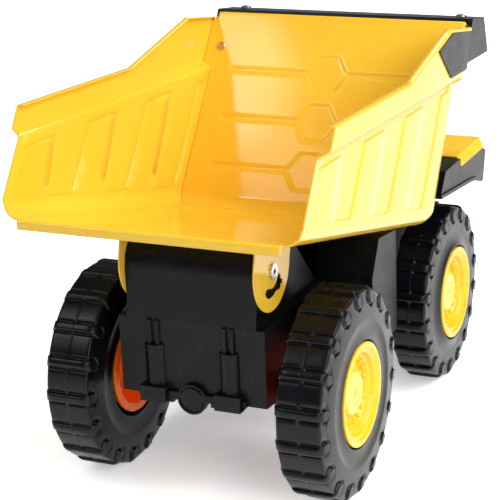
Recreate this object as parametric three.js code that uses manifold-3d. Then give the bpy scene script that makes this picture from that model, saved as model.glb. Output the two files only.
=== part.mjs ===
// Toy dump truck. Millimetres, +Z up. The truck faces -Y and its left side is +X.
// It stands on the plane z = 0, and the origin is the middle of its footprint.
import * as THREE from 'three';
import * as BufferGeometryUtils from 'three/addons/utils/BufferGeometryUtils.js';
import Module from 'manifold-3d';

const wasm = await Module();
wasm.setup();

// Fits shared by every piece
const sheet = 1.1; // thickness of the pressed steel
const gap = 0.3; // space left between two pieces that touch
const running = 0.4; // radial space round a turning pin
const overrun = 3; // how far a cutting tool runs past a face
const fineSteps = 36; // sides of a large round piece
const roundSteps = 20; // sides of a middling round piece
const coarseSteps = 10; // sides of a small round piece

const farReach = 260; // past the whole truck, from its middle
const cornerSteps = 5; // sides of the floor's rounded corners
const slotSteps = 8; // sides along the curved slot

// The rear wheels, and the slightly smaller front ones
const rearSet = {
  axleY: 102,
  treadRadius: 72,
  treadInnerX: 70.4,
  treadOuterX: 100.5,
  rimOuterX: 104.4,
};
const frontSet = {
  axleY: -123.4,
  treadRadius: 67.4,
  treadInnerX: 69,
  treadOuterX: 95.1,
  rimOuterX: 100.2,
};

// Tyres
const lugHeight = 2.1;
const lugCount = 18;
const lugWidth = 6.4;
const lugReach = 11; // length of a lug's knob down the sidewall
const knobProud = 1.2; // how far a knob stands off the sidewall
const shoulderDrop = 2.4; // the lugs start this far below the tread
const sidewallBulge = 2.6;
const beadRadius = 37.6; // where the sidewall meets the rim flange
const tyreWall = 3.2;
const tyreBead = 3;
// Where the first lug of each wheel stands, as the wheels happened to be turned
const lugTurns = { rear_right: 0, rear_left: 10, front_right: 4, front_left: 0 };

// Hubs
const rimInset = 3; // the inboard rim lies this far inboard of the tread
const rimRadius = 36.4;
const rimInnerRadius = 34.4;
const rimLip = 3.2;
const flangeThickness = 2.2;
const barrelRadius = 31;
const barrelWall = 2.4;
const dishStepRadius = 28;
const dishStepDepth = 2;
const dishDepth = 10.4;
const bearingRadius = 8.5;
const hubCapRadius = 15.4;
const hubCapProud = 5.4;
const hubCapWall = 2.2;

// Axles
const rodRadius = 3;
const washerRadius = 7;
const washerThickness = 1.2;

// Bed, as seen from the side: y and z of its corners
const tailEndY = 208;
const tailFold = 4; // run of the folded edge behind the floor
const tailLean = 3;
const tailRake = 24.3;
const shelfLean = 4.4;
const tailTopLean = 8.9;
const tailFloorY = tailEndY - tailFold;
const tailLow = { y: tailFloorY - tailLean, z: 224 };
const tailShelf = { y: tailLow.y - tailRake, z: 258.8 };
const tailShelfTop = { y: tailShelf.y - shelfLean, z: 261.7 };
const tailTop = { y: tailShelfTop.y - tailTopLean, z: 277.1 };
const sideDip = { y: 12.6, z: 269.7 };
const sidePeak = { y: -82.8, z: 288.9 };
const frontTop = { y: -136.4, z: 280.3 };
const frontShelfZ = 243.5;
const frontLow = { y: -58.5, z: 151.1 };
const frontRake = 0.6195; // forward run of the front edge for each unit of height
const frontCornerRadius = 20;
const floorRise = 0.2502; // rise of the floor towards the tail for each unit of length
const floorZ = 159.6; // underside of the floor at y = 0

// Bed, as seen from the tail
const wallX = 104.6; // outer face of the lower wall at the tail
const upperX = 112.8; // outer face of the upper wall
const shelfRise = 4.2;
const floorCornerRadius = 12;
const lipWidth = 5;
const lipDepth = 1.4;
const hemWidth = 7;
const hemProud = 0.7;
const tailFlangeHeight = 6.4;
const tailFlangeX = 91.8;
const narrowShare = 0.0413; // the bed narrows by this share from its tail to its front

// Ribs pressed into the side walls
const ribCount = 3;
const ribTopY = 134;
const ribTopPitch = 85.8;
const ribTopWidth = 46;
const ribFootY = 150;
const ribFootPitch = 75;
const ribFootWidth = 31.5;
const ribFootLift = 14.4;
const bandHeight = 6;
const ribDepth = 1.2; // the ribs, and the band that they hang from, are pressed in by this much

// Front wall of the bed
const panelLow = { y: -50, z: 165 };
const panelLean = THREE.MathUtils.degToRad(35.9);
const panelTop = 146.2; // along the slope, from panelLow
const panelFlange = 6;
const panelRoot = 50; // the sheet starts this far below panelLow, and the floor trims it
const hoodFlange = 26; // tongue under the canopy
const pressDepth = 1.5;
const hexCount = 3;
const hexFirst = 16.5;
const hexPitch = 40.5;
const hexHalfWidth = 17;
const hexHalfTop = 9;
const hexHalfHeight = 16.3;
const grooveHalf = 3.4;
const grooveEndX = 85.5;
const panelRivetX = 93.9;
const panelRivetUp = 117;

// Rivets through the front wall and the canopy
const rivetRadius = 2;
const rivetHead = 3.8;
const rivetHeadHeight = 1;

// Canopy, set by the top edge of the front wall
const canopyX = 107.2;
const canopyWall = 2.4;
const canopyOverWall = 1.8;
const canopyAheadOfWall = 6.9;
const canopyRoofLength = 30.1;
const canopyRoofFall = 4;
const canopyFrontLean = 10.3;
const canopyFrontDepth = 29.1;
const canopyRearLean = 19;
const canopyRearDepth = 31;
const wallTop = panelPoint(panelTop, 0);
const canopyRearTop = { y: wallTop.y - canopyAheadOfWall, z: wallTop.z + canopyOverWall };
const canopyFrontTop = { y: canopyRearTop.y - canopyRoofLength, z: canopyRearTop.z - canopyRoofFall };
const canopyFrontLow = { y: canopyFrontTop.y - canopyFrontLean, z: canopyFrontTop.z - canopyFrontDepth };
const canopyRearLow = { y: canopyRearTop.y + canopyRearLean, z: canopyRearTop.z - canopyRearDepth };
const canopyTabWidth = 14;
const canopyTabLength = 40;
const domeX = 91.5;
const domeBack = 9.7; // behind the roof's front edge
const domeY = canopyFrontTop.y + domeBack;
const domeRadius = 4.6;
const domeHeight = 2.2;
const domeShoulderAngle = THREE.MathUtils.degToRad(50);

// Plain side plates
const plateThickness = 0.9;
const plateRear = { y: -49.5, z: 279.2 };
const platePeak = { y: -85.4, z: 286 };
const plateFront = { y: -132, z: 278.1 };
const plateFrontLow = { y: -119.6, z: 251.4 };
const plateRearLow = { y: -79.3, z: 253.2 };

// Hinge between bed and chassis
const pivot = { y: 123.4, z: 164.2 };
const earInnerX = 48.7;
const earRadius = 29.8;
const earMiddle = 1.4; // ear centre behind the pivot, along the floor
const earCentreUp = 2.2;
const earFlange = 11;
const dumpTurn = THREE.MathUtils.degToRad(54);
const slotFromPivot = 14.7;
const slotStart = THREE.MathUtils.degToRad(-135.8); // way from the pivot to the stop pin at rest
const slotHalf = 2.2;
const slotEndRadius = 3.9;
const slotReliefLength = 8.2;
const stopPinRadius = 1.7;
const stopPinProud = 3.4;
const hingeHole = 3.8;
const hingeHeadRadius = 5.6;
const hingeHeadThickness = 1.2;
const hingeBore = 2.1;

// Chassis
const rearBoxX = 54;
const rearFaceY = 150;
const rearBoxFrontY = 41;
const rearBoxTop = 131;
const rearBoxLow = 76;
const axleBlockLow = 63;
const axleBlockHalf = 17;
const towerX = 48;
const towerWaistZ = 147;
const towerLean = 2.6;
const towerArcRadius = 24.4;
const towerFrontY = 86;
const towerFrontTop = 176;
const moldWall = 3;
const spineX = 30;
const spineTop = 126;
const spineLow = 78;
const noseX = 56;
const noseRearY = -64;
const noseFrontY = -196;
const noseTop = 128;
const noseLow = 58;
const bossRadius = 8.6;
const bossEndX = 66.6;
const restHalfX = 26;
const restRearY = -22;
const restFrontY = -44;

// Moulded detail on the rear face
const strutX = 27.8;
const strutRadius = 8.5;
const strutLow = 84;
const strutTop = 113.2;
const strutRodRadius = 2;
const strutRodSpread = 5.6;
const strutRodTop = 130.6;
const strutProud = 4.5;
const strutFootProud = 7;
const diffRadius = 10.9;
const diffZ = 76.8;
const diffProud = 3.6;
const diffGroove = 1.2;
const apronTop = 84;
const apronLow = 73;
const apronHalfX = 40;
const apronProud = 3.4;

// Boxes between the wheels
const boxOuterX = 82;
const boxInnerX = 38;
const boxRearY = 20;
const boxFrontY = -32;
const boxLow = 70;
const boxTop = 153;
const boxRearTop = 127;
const boxTopRearY = 5;

// Front body
const fenderX = 102;
const fenderSkin = 3;
const fenderFrontTop = { y: -197, z: 168 };
const fenderFrontLow = { y: -190.5, z: 143.9 };
const fenderNotch = { y: -184.7, z: 144.1 };
const fenderArchFront = { y: -167.7, z: 150.2 };
const fenderArch = { y: -153.9, z: 152.5 };
const fenderRearLow = { y: -76, z: 160.5 };
const fenderRearTop = { y: -90, z: 178.4 };
const fenderStepY = -189.4;
const fenderTop = 178.4;
const lipHeight = 3;
const lipProud = 1.2;

// Deck plates
const deckX = 99;
const deckSkirtX = 102.9;
const deckInnerX = 67;
const deckRearY = -128.6;
const deckFrontY = -188.6;
const deckTop = 180.2;
const deckSkirtLow = 172.2;

// Hood, cab and nose
const hoodInnerX = -4;
const hoodOuterX = -64;
const hoodRearY = -132;
const hoodFrontY = -199;
const hoodTop = 199;
const hoodSlope = 7;
const cabInnerX = -1;
const cabOuterX = 64;
const cabRearLowY = -128;
const cabRearTopY = -135;
const cabFrontY = -187;
const cabFrontTopY = -179;
const cabTop = 244;
const cabSkin = 2.6;
const pillar = 6;
const windowLow = 205;
const windowTop = 236;
const grilleHalfX = 47;
const grilleLow = 131;
const grilleTop = 172;
const grilleBars = 7;
const grilleDepth = 4;
const lampX = 82;
const lampZ = 160.5;
const lampHalfWidth = 11;
const lampHalfHeight = 5;
const lampProud = 1.4;
const bumperHalfX = 60;
const bumperDepth = 12;
const bumperFrontY = noseFrontY - bumperDepth;
const bumperLow = 66;
const bumperTop = 118;
const stairWidth = 20;
const stairX = 38;
const stairCount = 3;
const stairDepth = 7;

// Screws under the chassis
const screwRadius = 2.6;
const screwHead = 4.4;
const screwLength = 9;
const screwX = 40;
const screwFrontY = noseFrontY + screwLength;
const screwRearY = -80;

const yellowSteel = { color: 0xf9c21b, roughness: 0.3, metalness: 0.2 };
const yellowPlastic = { color: 0xf7ca1e, roughness: 0.35, metalness: 0 };
const blackPlastic = { color: 0x1f2124, roughness: 0.5, metalness: 0 };
const tyrePlastic = { color: 0x17181a, roughness: 0.45, metalness: 0 };
const brightSteel = { color: 0xb9bcc0, roughness: 0.3, metalness: 1 };
const darkGlass = { color: 0x0c0f12, roughness: 0.15, metalness: 0 };
const clearLamp = { color: 0xe9ecee, roughness: 0.1, metalness: 0 };

const truck = new THREE.Group();

// Solids and booleans

function toSolid(geometry) {
  geometry.deleteAttribute('normal');
  geometry.deleteAttribute('uv');
  const merged = BufferGeometryUtils.mergeVertices(geometry);
  const vertProperties = new Float32Array(merged.attributes.position.array);
  const triVerts = new Uint32Array(merged.index.array);
  return new wasm.Manifold(new wasm.Mesh({ numProp: 3, vertProperties, triVerts }));
}

function toGeometry(solid) {
  const mesh = solid.getMesh();
  const geometry = new THREE.BufferGeometry();
  geometry.setAttribute('position', new THREE.BufferAttribute(mesh.vertProperties, 3));
  geometry.setIndex(new THREE.BufferAttribute(mesh.triVerts, 1));
  const flat = geometry.toNonIndexed();
  flat.computeVertexNormals();
  return flat;
}

function joined(solids) {
  return solids.reduce((sum, solid) => sum.add(solid));
}

function place(name, solid, look) {
  const material = new THREE.MeshStandardMaterial(look);
  const mesh = new THREE.Mesh(toGeometry(solid), material);
  mesh.name = name;
  truck.add(mesh);
}

function mirrored(solid) {
  return solid.mirror([1, 0, 0]);
}

// A closed outline swept straight from one station to another along the third axis of the basis
function prism(points, basis, from, to) {
  const shape = new THREE.Shape(points.map(([u, v]) => new THREE.Vector2(u, v)));
  const settings = { depth: to - from, bevelEnabled: false, curveSegments: 1 };
  const geometry = new THREE.ExtrudeGeometry(shape, settings);
  geometry.translate(0, 0, from);
  geometry.applyMatrix4(basis);
  return toSolid(geometry);
}

function basisFrom(uAxis, vAxis, wAxis, origin = [0, 0, 0]) {
  const basis = new THREE.Matrix4();
  basis.makeBasis(new THREE.Vector3(...uAxis), new THREE.Vector3(...vAxis), new THREE.Vector3(...wAxis));
  basis.setPosition(...origin);
  return basis;
}

const sideBasis = basisFrom([0, 1, 0], [0, 0, 1], [1, 0, 0]);
const endBasis = basisFrom([0, 0, 1], [1, 0, 0], [0, 1, 0]);

// An outline of (y, z) points, swept across the truck
function acrossPrism(points, fromX, toX) {
  return prism(points, sideBasis, fromX, toX);
}

function box(fromX, toX, fromY, toY, fromZ, toZ) {
  const geometry = new THREE.BoxGeometry(toX - fromX, toY - fromY, toZ - fromZ);
  geometry.translate((fromX + toX) / 2, (fromY + toY) / 2, (fromZ + toZ) / 2);
  return toSolid(geometry);
}

// A round bar along X
function barX(radius, fromX, toX, y, z, steps = coarseSteps) {
  const geometry = new THREE.CylinderGeometry(radius, radius, toX - fromX, steps);
  geometry.rotateZ(Math.PI / 2);
  geometry.translate((fromX + toX) / 2, y, z);
  return toSolid(geometry);
}

function barY(radius, x, fromY, toY, z, steps = coarseSteps) {
  const geometry = new THREE.CylinderGeometry(radius, radius, toY - fromY, steps);
  geometry.translate(x, (fromY + toY) / 2, z);
  return toSolid(geometry);
}

function barZ(radius, x, y, fromZ, toZ, steps = coarseSteps) {
  const geometry = new THREE.CylinderGeometry(radius, radius, toZ - fromZ, steps);
  geometry.rotateX(Math.PI / 2);
  geometry.translate(x, y, (fromZ + toZ) / 2);
  return toSolid(geometry);
}

// An (x, radius) outline turned about an axle line that runs along X.
// The outline closes on itself, unless both its ends lie on the axle line.
function turned(profile, y, z, steps) {
  const points = profile.map(([x, radius]) => new THREE.Vector2(radius, x));
  if (THREE.ShapeUtils.area(points) < 0) {
    points.reverse();
  }
  if (points[0].x > 0) {
    points.push(points[0].clone());
  }
  const geometry = new THREE.LatheGeometry(points, steps);
  geometry.rotateZ(-Math.PI / 2);
  geometry.translate(0, y, z);
  return toSolid(geometry);
}

function arcPoints(centre, radius, from, to, steps) {
  const points = [];
  for (let i = 0; i <= steps; i += 1) {
    const angle = from + ((to - from) * i) / steps;
    points.push([centre[0] + radius * Math.cos(angle), centre[1] + radius * Math.sin(angle)]);
  }
  return points;
}

function pairOf(point) {
  return [point.y, point.z];
}

// Lines of the bed

function floorUnder(y) {
  return floorZ + floorRise * y;
}

function frontEdgeY(z) {
  return frontLow.y - frontRake * (z - frontLow.z);
}

const shelfSlope = (tailShelf.z - frontShelfZ) / (tailShelf.y - frontEdgeY(frontShelfZ));

function shelfZ(y) {
  return tailShelf.z + shelfSlope * (y - tailShelf.y);
}

// Where the face of the front wall lies at a height
function panelFaceY(z) {
  return panelLow.y - (z - panelLow.z) * Math.tan(panelLean);
}

// The bed is a little narrower at the front than at the tail
function narrow(solid) {
  return solid.warp((vertex) => {
    const run = (tailShelf.y - vertex[1]) / (tailShelf.y - frontTop.y);
    vertex[0] *= 1 - narrowShare * run;
  });
}

const floorTilt = Math.atan(floorRise);
const floorBasis = basisFrom(
  [1, 0, 0],
  [0, -Math.sin(floorTilt), Math.cos(floorTilt)],
  [0, -Math.cos(floorTilt), -Math.sin(floorTilt)],
  [0, farReach, floorUnder(farReach)],
);
const bedReach = 2 * farReach;

// Half-outline of a round-cornered trough, closed by its mirror image
function troughOutline(halfWidth, low, high, radius) {
  const corner = arcPoints([halfWidth - radius, low + radius], radius, -Math.PI / 2, 0, cornerSteps);
  const right = [...corner, [halfWidth, high]];
  const left = right.map(([x, z]) => [-x, z]).reverse();
  return [...right, ...left];
}

function lowerSide() {
  const floorFrontY = frontLow.y + frontCornerRadius - sheet;
  const bevel = frontCornerRadius / 2;
  return [
    [tailShelf.y, tailShelf.z],
    [frontEdgeY(frontShelfZ), frontShelfZ],
    [frontEdgeY(frontLow.z + bevel), frontLow.z + bevel],
    [frontEdgeY(frontLow.z) + bevel * (1 - frontRake), frontLow.z],
    [floorFrontY, floorUnder(floorFrontY) + sheet],
    [floorFrontY, floorUnder(floorFrontY) - overrun],
    [tailFloorY, floorUnder(tailFloorY) - overrun],
    [tailFloorY, floorUnder(tailFloorY) + sheet],
    pairOf(tailLow),
  ].reverse();
}

function upperSide() {
  return [
    pairOf(tailShelf),
    pairOf(tailShelfTop),
    pairOf(tailTop),
    pairOf(sideDip),
    pairOf(sidePeak),
    pairOf(frontTop),
    [frontEdgeY(frontShelfZ), frontShelfZ],
    [frontEdgeY(frontShelfZ), frontShelfZ - bandHeight],
    [tailShelf.y, tailShelf.z - bandHeight],
  ];
}

function lowerTrough() {
  const high = farReach;
  const outer = prism(troughOutline(wallX, 0, high, floorCornerRadius), floorBasis, 0, bedReach);
  const innerRadius = floorCornerRadius - sheet;
  const inner = prism(
    troughOutline(wallX - sheet, sheet, high + overrun, innerRadius),
    floorBasis,
    -overrun,
    bedReach + overrun,
  );
  const cut = acrossPrism(lowerSide(), -upperX, upperX);
  return outer.subtract(inner).intersect(cut);
}

const shelfBasis = basisFrom(
  [1, 0, 0],
  [0, -Math.sin(Math.atan(shelfSlope)), Math.cos(Math.atan(shelfSlope))],
  [0, -Math.cos(Math.atan(shelfSlope)), -Math.sin(Math.atan(shelfSlope))],
  [0, farReach, shelfZ(farReach)],
);

// The shelf where the wall steps out, and the wall above it
function upperWall() {
  const high = tailTop.z - frontShelfZ + farReach;
  const inward = sheet / 2;
  const outline = [
    [wallX, -bandHeight],
    [wallX, 0],
    [upperX, shelfRise],
    [upperX, high],
    [upperX - sheet, high],
    [upperX - sheet, shelfRise + inward],
    [wallX - sheet, inward],
    [wallX - sheet, -bandHeight],
  ];
  const wall = prism(outline, shelfBasis, 0, bedReach);
  return wall.intersect(acrossPrism(upperSide(), 0, upperX + overrun));
}

// The turned-in edge along the top of a side wall, grown by a margin above and below
function lipRun(fromX, toX, margin) {
  const top = [tailTop, sideDip, sidePeak, frontTop].map(({ y, z }) => [y, z + margin]);
  const under = top.map(([y, z]) => [y, z - lipDepth - 2 * margin]).reverse();
  return acrossPrism([...top, ...under], fromX, toX);
}

function topLip() {
  return lipRun(upperX - lipWidth, upperX - sheet / 2, 0);
}

// Ribs and the band that they hang from, as one comb. It stops short of the tail and of the front wall.
function combOutline(inset) {
  const wallAhead = panelFaceY(frontShelfZ);
  const bandFront = wallAhead + hemWidth + inset;
  const bandRear = tailShelf.y - hemWidth - inset;
  const points = [
    [bandFront, shelfZ(bandFront) - inset],
    [bandFront, shelfZ(bandFront) - bandHeight + inset],
  ];
  for (let i = ribCount - 1; i >= 0; i -= 1) {
    const topRear = ribTopY - ribTopPitch * i;
    const footRear = ribFootY - ribFootPitch * i;
    const topFront = topRear - ribTopWidth;
    const footFront = footRear - ribFootWidth;
    const bandLow = (y) => shelfZ(y) - bandHeight + inset;
    points.push([topFront + inset, bandLow(topFront)]);
    points.push([footFront + inset, floorUnder(footFront) + ribFootLift + inset]);
    points.push([footRear - inset, floorUnder(footRear) + ribFootLift + inset]);
    points.push([topRear - inset, bandLow(topRear)]);
  }
  points.push([bandRear, shelfZ(bandRear) - bandHeight + inset]);
  points.push([bandRear, shelfZ(bandRear) - inset]);
  return points;
}

function hemStrip() {
  const strip = [
    pairOf(tailLow),
    pairOf(tailShelf),
    [tailShelf.y - hemWidth, tailShelf.z],
    [tailLow.y - hemWidth, tailLow.z],
  ];
  return acrossPrism(strip, wallX - sheet / 2, wallX + hemProud);
}

// Folded edge of the floor, and the tab in the floor that it hangs from
function tailFlange() {
  const rear = tailEndY;
  const top = floorUnder(rear) + sheet;
  const outline = [
    [rear, top],
    [tailFloorY - overrun, floorUnder(tailFloorY - overrun) + sheet],
    [tailFloorY - overrun, floorUnder(tailFloorY - overrun)],
    [rear - sheet, floorUnder(rear - sheet)],
    [rear - sheet, top - tailFlangeHeight],
    [rear, top - tailFlangeHeight],
  ];
  return acrossPrism(outline, -tailFlangeX, tailFlangeX);
}

function bedShell() {
  const comb = acrossPrism(combOutline(0), wallX - sheet - ribDepth, wallX - sheet / 2);
  const pocket = acrossPrism(combOutline(sheet), wallX - ribDepth, wallX + overrun);
  const side = joined([upperWall(), topLip(), hemStrip(), comb]);
  const pockets = joined([pocket, mirrored(pocket)]);
  const shell = joined([lowerTrough(), side, mirrored(side), tailFlange()]).subtract(pockets);
  return narrow(shell);
}

// Everything inside the bed, taken in from its walls by a margin
function bedInside(margin) {
  const step = sheet / 2 + margin;
  const lower = prism(
    troughOutline(wallX - sheet - margin, sheet + margin, farReach, floorCornerRadius - sheet - margin),
    floorBasis,
    0,
    bedReach,
  );
  const belowShelf = acrossPrism(
    [
      [farReach, shelfZ(farReach) + step],
      [-farReach, shelfZ(-farReach) + step],
      [-farReach, 0],
      [farReach, 0],
    ],
    -upperX,
    upperX,
  );
  const aboveOutline = [
    [wallX - sheet - margin, step],
    [upperX - sheet - margin, shelfRise + step],
    [upperX - sheet - margin, farReach],
  ];
  const above = prism(
    [...aboveOutline, ...aboveOutline.map(([x, z]) => [-x, z]).reverse()],
    shelfBasis,
    0,
    bedReach,
  );
  const lipRoom = lipRun(upperX - lipWidth - margin, upperX + margin, margin);
  const inside = joined([lower.intersect(belowShelf), above]);
  return inside.subtract(joined([lipRoom, mirrored(lipRoom)]));
}

// Front wall of the bed. Its own axes: across, up the slope, and out of the face towards the tail.
const panelBasis = basisFrom(
  [-1, 0, 0],
  [0, -Math.sin(panelLean), Math.cos(panelLean)],
  [0, Math.cos(panelLean), Math.sin(panelLean)],
  [0, panelLow.y, panelLow.z],
);

function panelPoint(up, out) {
  return {
    y: panelLow.y - up * Math.sin(panelLean) + out * Math.cos(panelLean),
    z: panelLow.z + up * Math.cos(panelLean) + out * Math.sin(panelLean),
  };
}

// One hexagon with a groove on each side of it
function hexOutline(middle, inset) {
  const quarter = [
    [grooveEndX - inset, grooveHalf - inset],
    [hexHalfWidth - inset, grooveHalf - inset],
    [hexHalfTop - inset / 2, hexHalfHeight - inset],
  ];
  const upper = [...quarter, ...quarter.map(([x, up]) => [-x, up]).reverse()];
  const lower = upper.map(([x, up]) => [x, -up]).reverse();
  return [...upper, ...lower].map(([x, up]) => [x, middle + up]);
}

function frontPanel() {
  const low = -panelRoot;
  const slab = prism(
    [
      [-upperX, low],
      [upperX, low],
      [upperX, panelTop],
      [-upperX, panelTop],
    ],
    panelBasis,
    -sheet,
    0,
  );
  const thickSlab = prism(
    [
      [-upperX, low],
      [upperX, low],
      [upperX, panelTop - panelFlange],
      [-upperX, panelTop - panelFlange],
    ],
    panelBasis,
    -sheet - panelFlange,
    0,
  );
  const outside = bedInside(gap);
  const inside = bedInside(gap + sheet);
  const behindEdge = acrossPrism(
    [
      [frontEdgeY(0) + sheet, 0],
      [farReach, 0],
      [farReach, bedReach],
      [frontEdgeY(bedReach) + sheet, bedReach],
    ],
    -upperX,
    upperX,
  );
  const flange = thickSlab.intersect(outside.subtract(inside)).intersect(behindEdge);
  const solids = [slab.intersect(outside), flange];
  const pads = [];
  const pockets = [];
  for (let i = 0; i < hexCount; i += 1) {
    const middle = hexFirst + hexPitch * i;
    pads.push(prism(hexOutline(middle, 0), panelBasis, -sheet - pressDepth, -sheet / 2));
    pockets.push(prism(hexOutline(middle, sheet), panelBasis, -pressDepth, overrun));
  }
  const sheetSolid = joined([...solids, ...pads]).subtract(joined(pockets));
  return joined([narrow(sheetSolid), hoodTongue()]).subtract(panelHoles());
}

// The tongue folded forward from the top of the front wall, close under the canopy's roof
function tongueTop(y) {
  return canopyTopZ(y) - canopyWall - gap;
}

function hoodTongue() {
  const rootY = panelPoint(panelTop, -sheet / 2).y;
  const frontY = rootY - hoodFlange;
  const outline = [
    [rootY, tongueTop(rootY)],
    [frontY, tongueTop(frontY)],
    [frontY, tongueTop(frontY) - sheet],
    [rootY, tongueTop(rootY) - sheet],
  ];
  const halfX = canopyX - canopyWall - gap;
  return acrossPrism(outline, -halfX, halfX);
}

function panelHoles() {
  const cutters = [-1, 1].flatMap((side) => [
    panelShank(side, running, overrun),
    domeShank(side, running, overrun),
  ]);
  return joined(cutters);
}

// A pin square to the front wall
function panelPin(x, up, radius, fromOut, toOut) {
  const geometry = new THREE.CylinderGeometry(radius, radius, toOut - fromOut, coarseSteps);
  geometry.rotateX(Math.PI / 2);
  geometry.translate(-x, up, (fromOut + toOut) / 2);
  geometry.applyMatrix4(panelBasis);
  return toSolid(geometry);
}

const tabFront = -sheet - gap - canopyWall - gap;

// The shank of the rivet that holds a canopy tab, wider and longer when it cuts the hole
function panelShank(side, extra, reach) {
  const radius = rivetRadius + extra;
  return panelPin(side * panelRivetX, panelRivetUp, radius, tabFront - rivetHeadHeight - reach, gap + reach);
}

function panelRivet(side) {
  const x = side * panelRivetX;
  const front = panelPin(x, panelRivetUp, rivetHead, tabFront - rivetHeadHeight, tabFront);
  const rear = panelPin(x, panelRivetUp, rivetHead, gap, gap + rivetHeadHeight);
  return joined([panelShank(side, 0, 0), front, rear]);
}

const roofSlope = (canopyRearTop.z - canopyFrontTop.z) / (canopyRearTop.y - canopyFrontTop.y);

function canopyTopZ(y) {
  return canopyRearTop.z + roofSlope * (y - canopyRearTop.y);
}

const roofTilt = Math.atan(roofSlope);
const roofBasis = basisFrom(
  [1, 0, 0],
  [0, Math.cos(roofTilt), Math.sin(roofTilt)],
  [0, -Math.sin(roofTilt), Math.cos(roofTilt)],
  [0, domeY, canopyTopZ(domeY)],
);
const domeFoot = -2 * canopyWall - sheet - gap;

// A pin square to the canopy's roof
function roofPin(x, radius, fromUp, toUp) {
  const geometry = new THREE.CylinderGeometry(radius, radius, toUp - fromUp, coarseSteps);
  geometry.rotateX(Math.PI / 2);
  geometry.translate(x, 0, (fromUp + toUp) / 2);
  geometry.applyMatrix4(roofBasis);
  return toSolid(geometry);
}

function domeShank(side, extra, reach) {
  return roofPin(side * domeX, rivetRadius + extra, domeFoot - reach, gap + reach);
}

function domeRivet(side) {
  const rim = [
    [0, 0],
    [domeRadius, 0],
    [domeRadius * Math.sin(domeShoulderAngle), domeHeight * Math.cos(domeShoulderAngle)],
    [0, domeHeight],
  ];
  const geometry = new THREE.LatheGeometry(rim.map(([u, v]) => new THREE.Vector2(u, v)), roundSteps);
  geometry.rotateX(Math.PI / 2);
  geometry.translate(side * domeX, 0, gap);
  geometry.applyMatrix4(roofBasis);
  const foot = roofPin(side * domeX, rivetHead, domeFoot, domeFoot + rivetHeadHeight);
  return joined([toSolid(geometry), domeShank(side, 0, 0), foot]);
}

function canopy() {
  const outline = [canopyRearTop, canopyRearLow, canopyFrontLow, canopyFrontTop].map(pairOf);
  const outer = acrossPrism(outline, -canopyX, canopyX);
  const inner = acrossPrism(
    [
      [canopyRearTop.y + overrun, canopyTopZ(canopyRearTop.y + overrun) - canopyWall],
      [canopyRearLow.y + overrun, canopyRearLow.z],
      [canopyRearLow.y + overrun, canopyFrontLow.z - overrun],
      [canopyFrontLow.y + canopyWall, canopyFrontLow.z - overrun],
      [canopyFrontTop.y + canopyWall, canopyTopZ(canopyFrontTop.y + canopyWall) - canopyWall],
    ],
    -canopyX + canopyWall,
    canopyX - canopyWall,
  );
  const braces = [-1, 1].map((side) => canopyBrace(side));
  return joined([outer.subtract(inner), ...braces]).subtract(panelHoles());
}

// A tab against the front wall, and the rib that ties it to the canopy's front
function canopyBrace(side) {
  const half = canopyTabWidth / 2;
  const x = side * panelRivetX;
  const tabLow = panelTop - canopyTabLength;
  const tabTop = panelTop - 2 * canopyWall;
  const back = -sheet - gap;
  const tab = prism(
    [
      [-x - half, tabLow],
      [-x + half, tabLow],
      [-x + half, tabTop],
      [-x - half, tabTop],
    ],
    panelBasis,
    back - canopyWall,
    back,
  );
  const reach = (canopyRearLow.z - panelPoint(0, back).z) / Math.cos(panelLean);
  const low = panelPoint(reach, back - canopyWall / 2);
  const high = panelPoint(tabTop, back - canopyWall / 2);
  const frontTopY = canopyFrontTop.y + canopyWall / 2;
  const under = (y) => tongueTop(y) - sheet - 2 * gap;
  const rib = [
    [low.y, low.z],
    [high.y, under(high.y) - canopyWall],
    [frontTopY, under(frontTopY) - canopyWall],
    [canopyFrontLow.y + canopyWall / 2, canopyFrontLow.z],
  ];
  const ribX = panelRivetX + half - canopyWall;
  const plate = acrossPrism(rib, ribX, ribX + canopyWall);
  return joined([tab, side > 0 ? plate : mirrored(plate)]);
}

// The plain plate on each upper wall, which follows the wall's slight narrowing
function sidePlate(side) {
  const outline = [plateRear, platePeak, plateFront, plateFrontLow, plateRearLow].map(pairOf);
  const plate = acrossPrism(outline.reverse(), upperX + gap, upperX + gap + plateThickness);
  const shaped = narrow(plate);
  return side > 0 ? shaped : mirrored(shaped);
}

// Hinge ears

function rotatedAbout(angle, radius) {
  return [pivot.y + radius * Math.cos(angle), pivot.z + radius * Math.sin(angle)];
}

const pivotToFloor = (floorUnder(pivot.y) - pivot.z) * Math.cos(floorTilt);
const earBasis = basisFrom(
  [0, Math.cos(floorTilt), Math.sin(floorTilt)],
  [0, -Math.sin(floorTilt), Math.cos(floorTilt)],
  [1, 0, 0],
  [0, pivot.y, pivot.z],
);

// The slot that the stop pin travels in: a round room for the pin at each end, and a neck between them
function stopSlot(fromX, toX) {
  const slack = (slotEndRadius - stopPinRadius - gap) / slotFromPivot;
  const start = slotStart + slack;
  const end = slotStart + dumpTurn - slack;
  const outer = arcPoints(pairOf(pivot), slotFromPivot + slotHalf, start, end, slotSteps);
  const inner = arcPoints(pairOf(pivot), slotFromPivot - slotHalf, start, end, slotSteps);
  const channel = acrossPrism([...outer, ...inner.reverse()], fromX, toX);
  const ends = [start, end].map((angle) => {
    const [y, z] = rotatedAbout(angle, slotFromPivot);
    return barX(slotEndRadius, fromX, toX, y, z);
  });
  const [reliefY, reliefZ] = rotatedAbout(start, slotFromPivot);
  const reliefHalf = slotHalf / 2;
  const relief = acrossPrism(
    [
      [reliefY - reliefHalf, reliefZ],
      [reliefY + reliefHalf, reliefZ],
      [reliefY + reliefHalf, reliefZ + slotReliefLength],
      [reliefY - reliefHalf, reliefZ + slotReliefLength],
    ],
    fromX,
    toX,
  );
  return joined([channel, ...ends, relief]);
}

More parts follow.
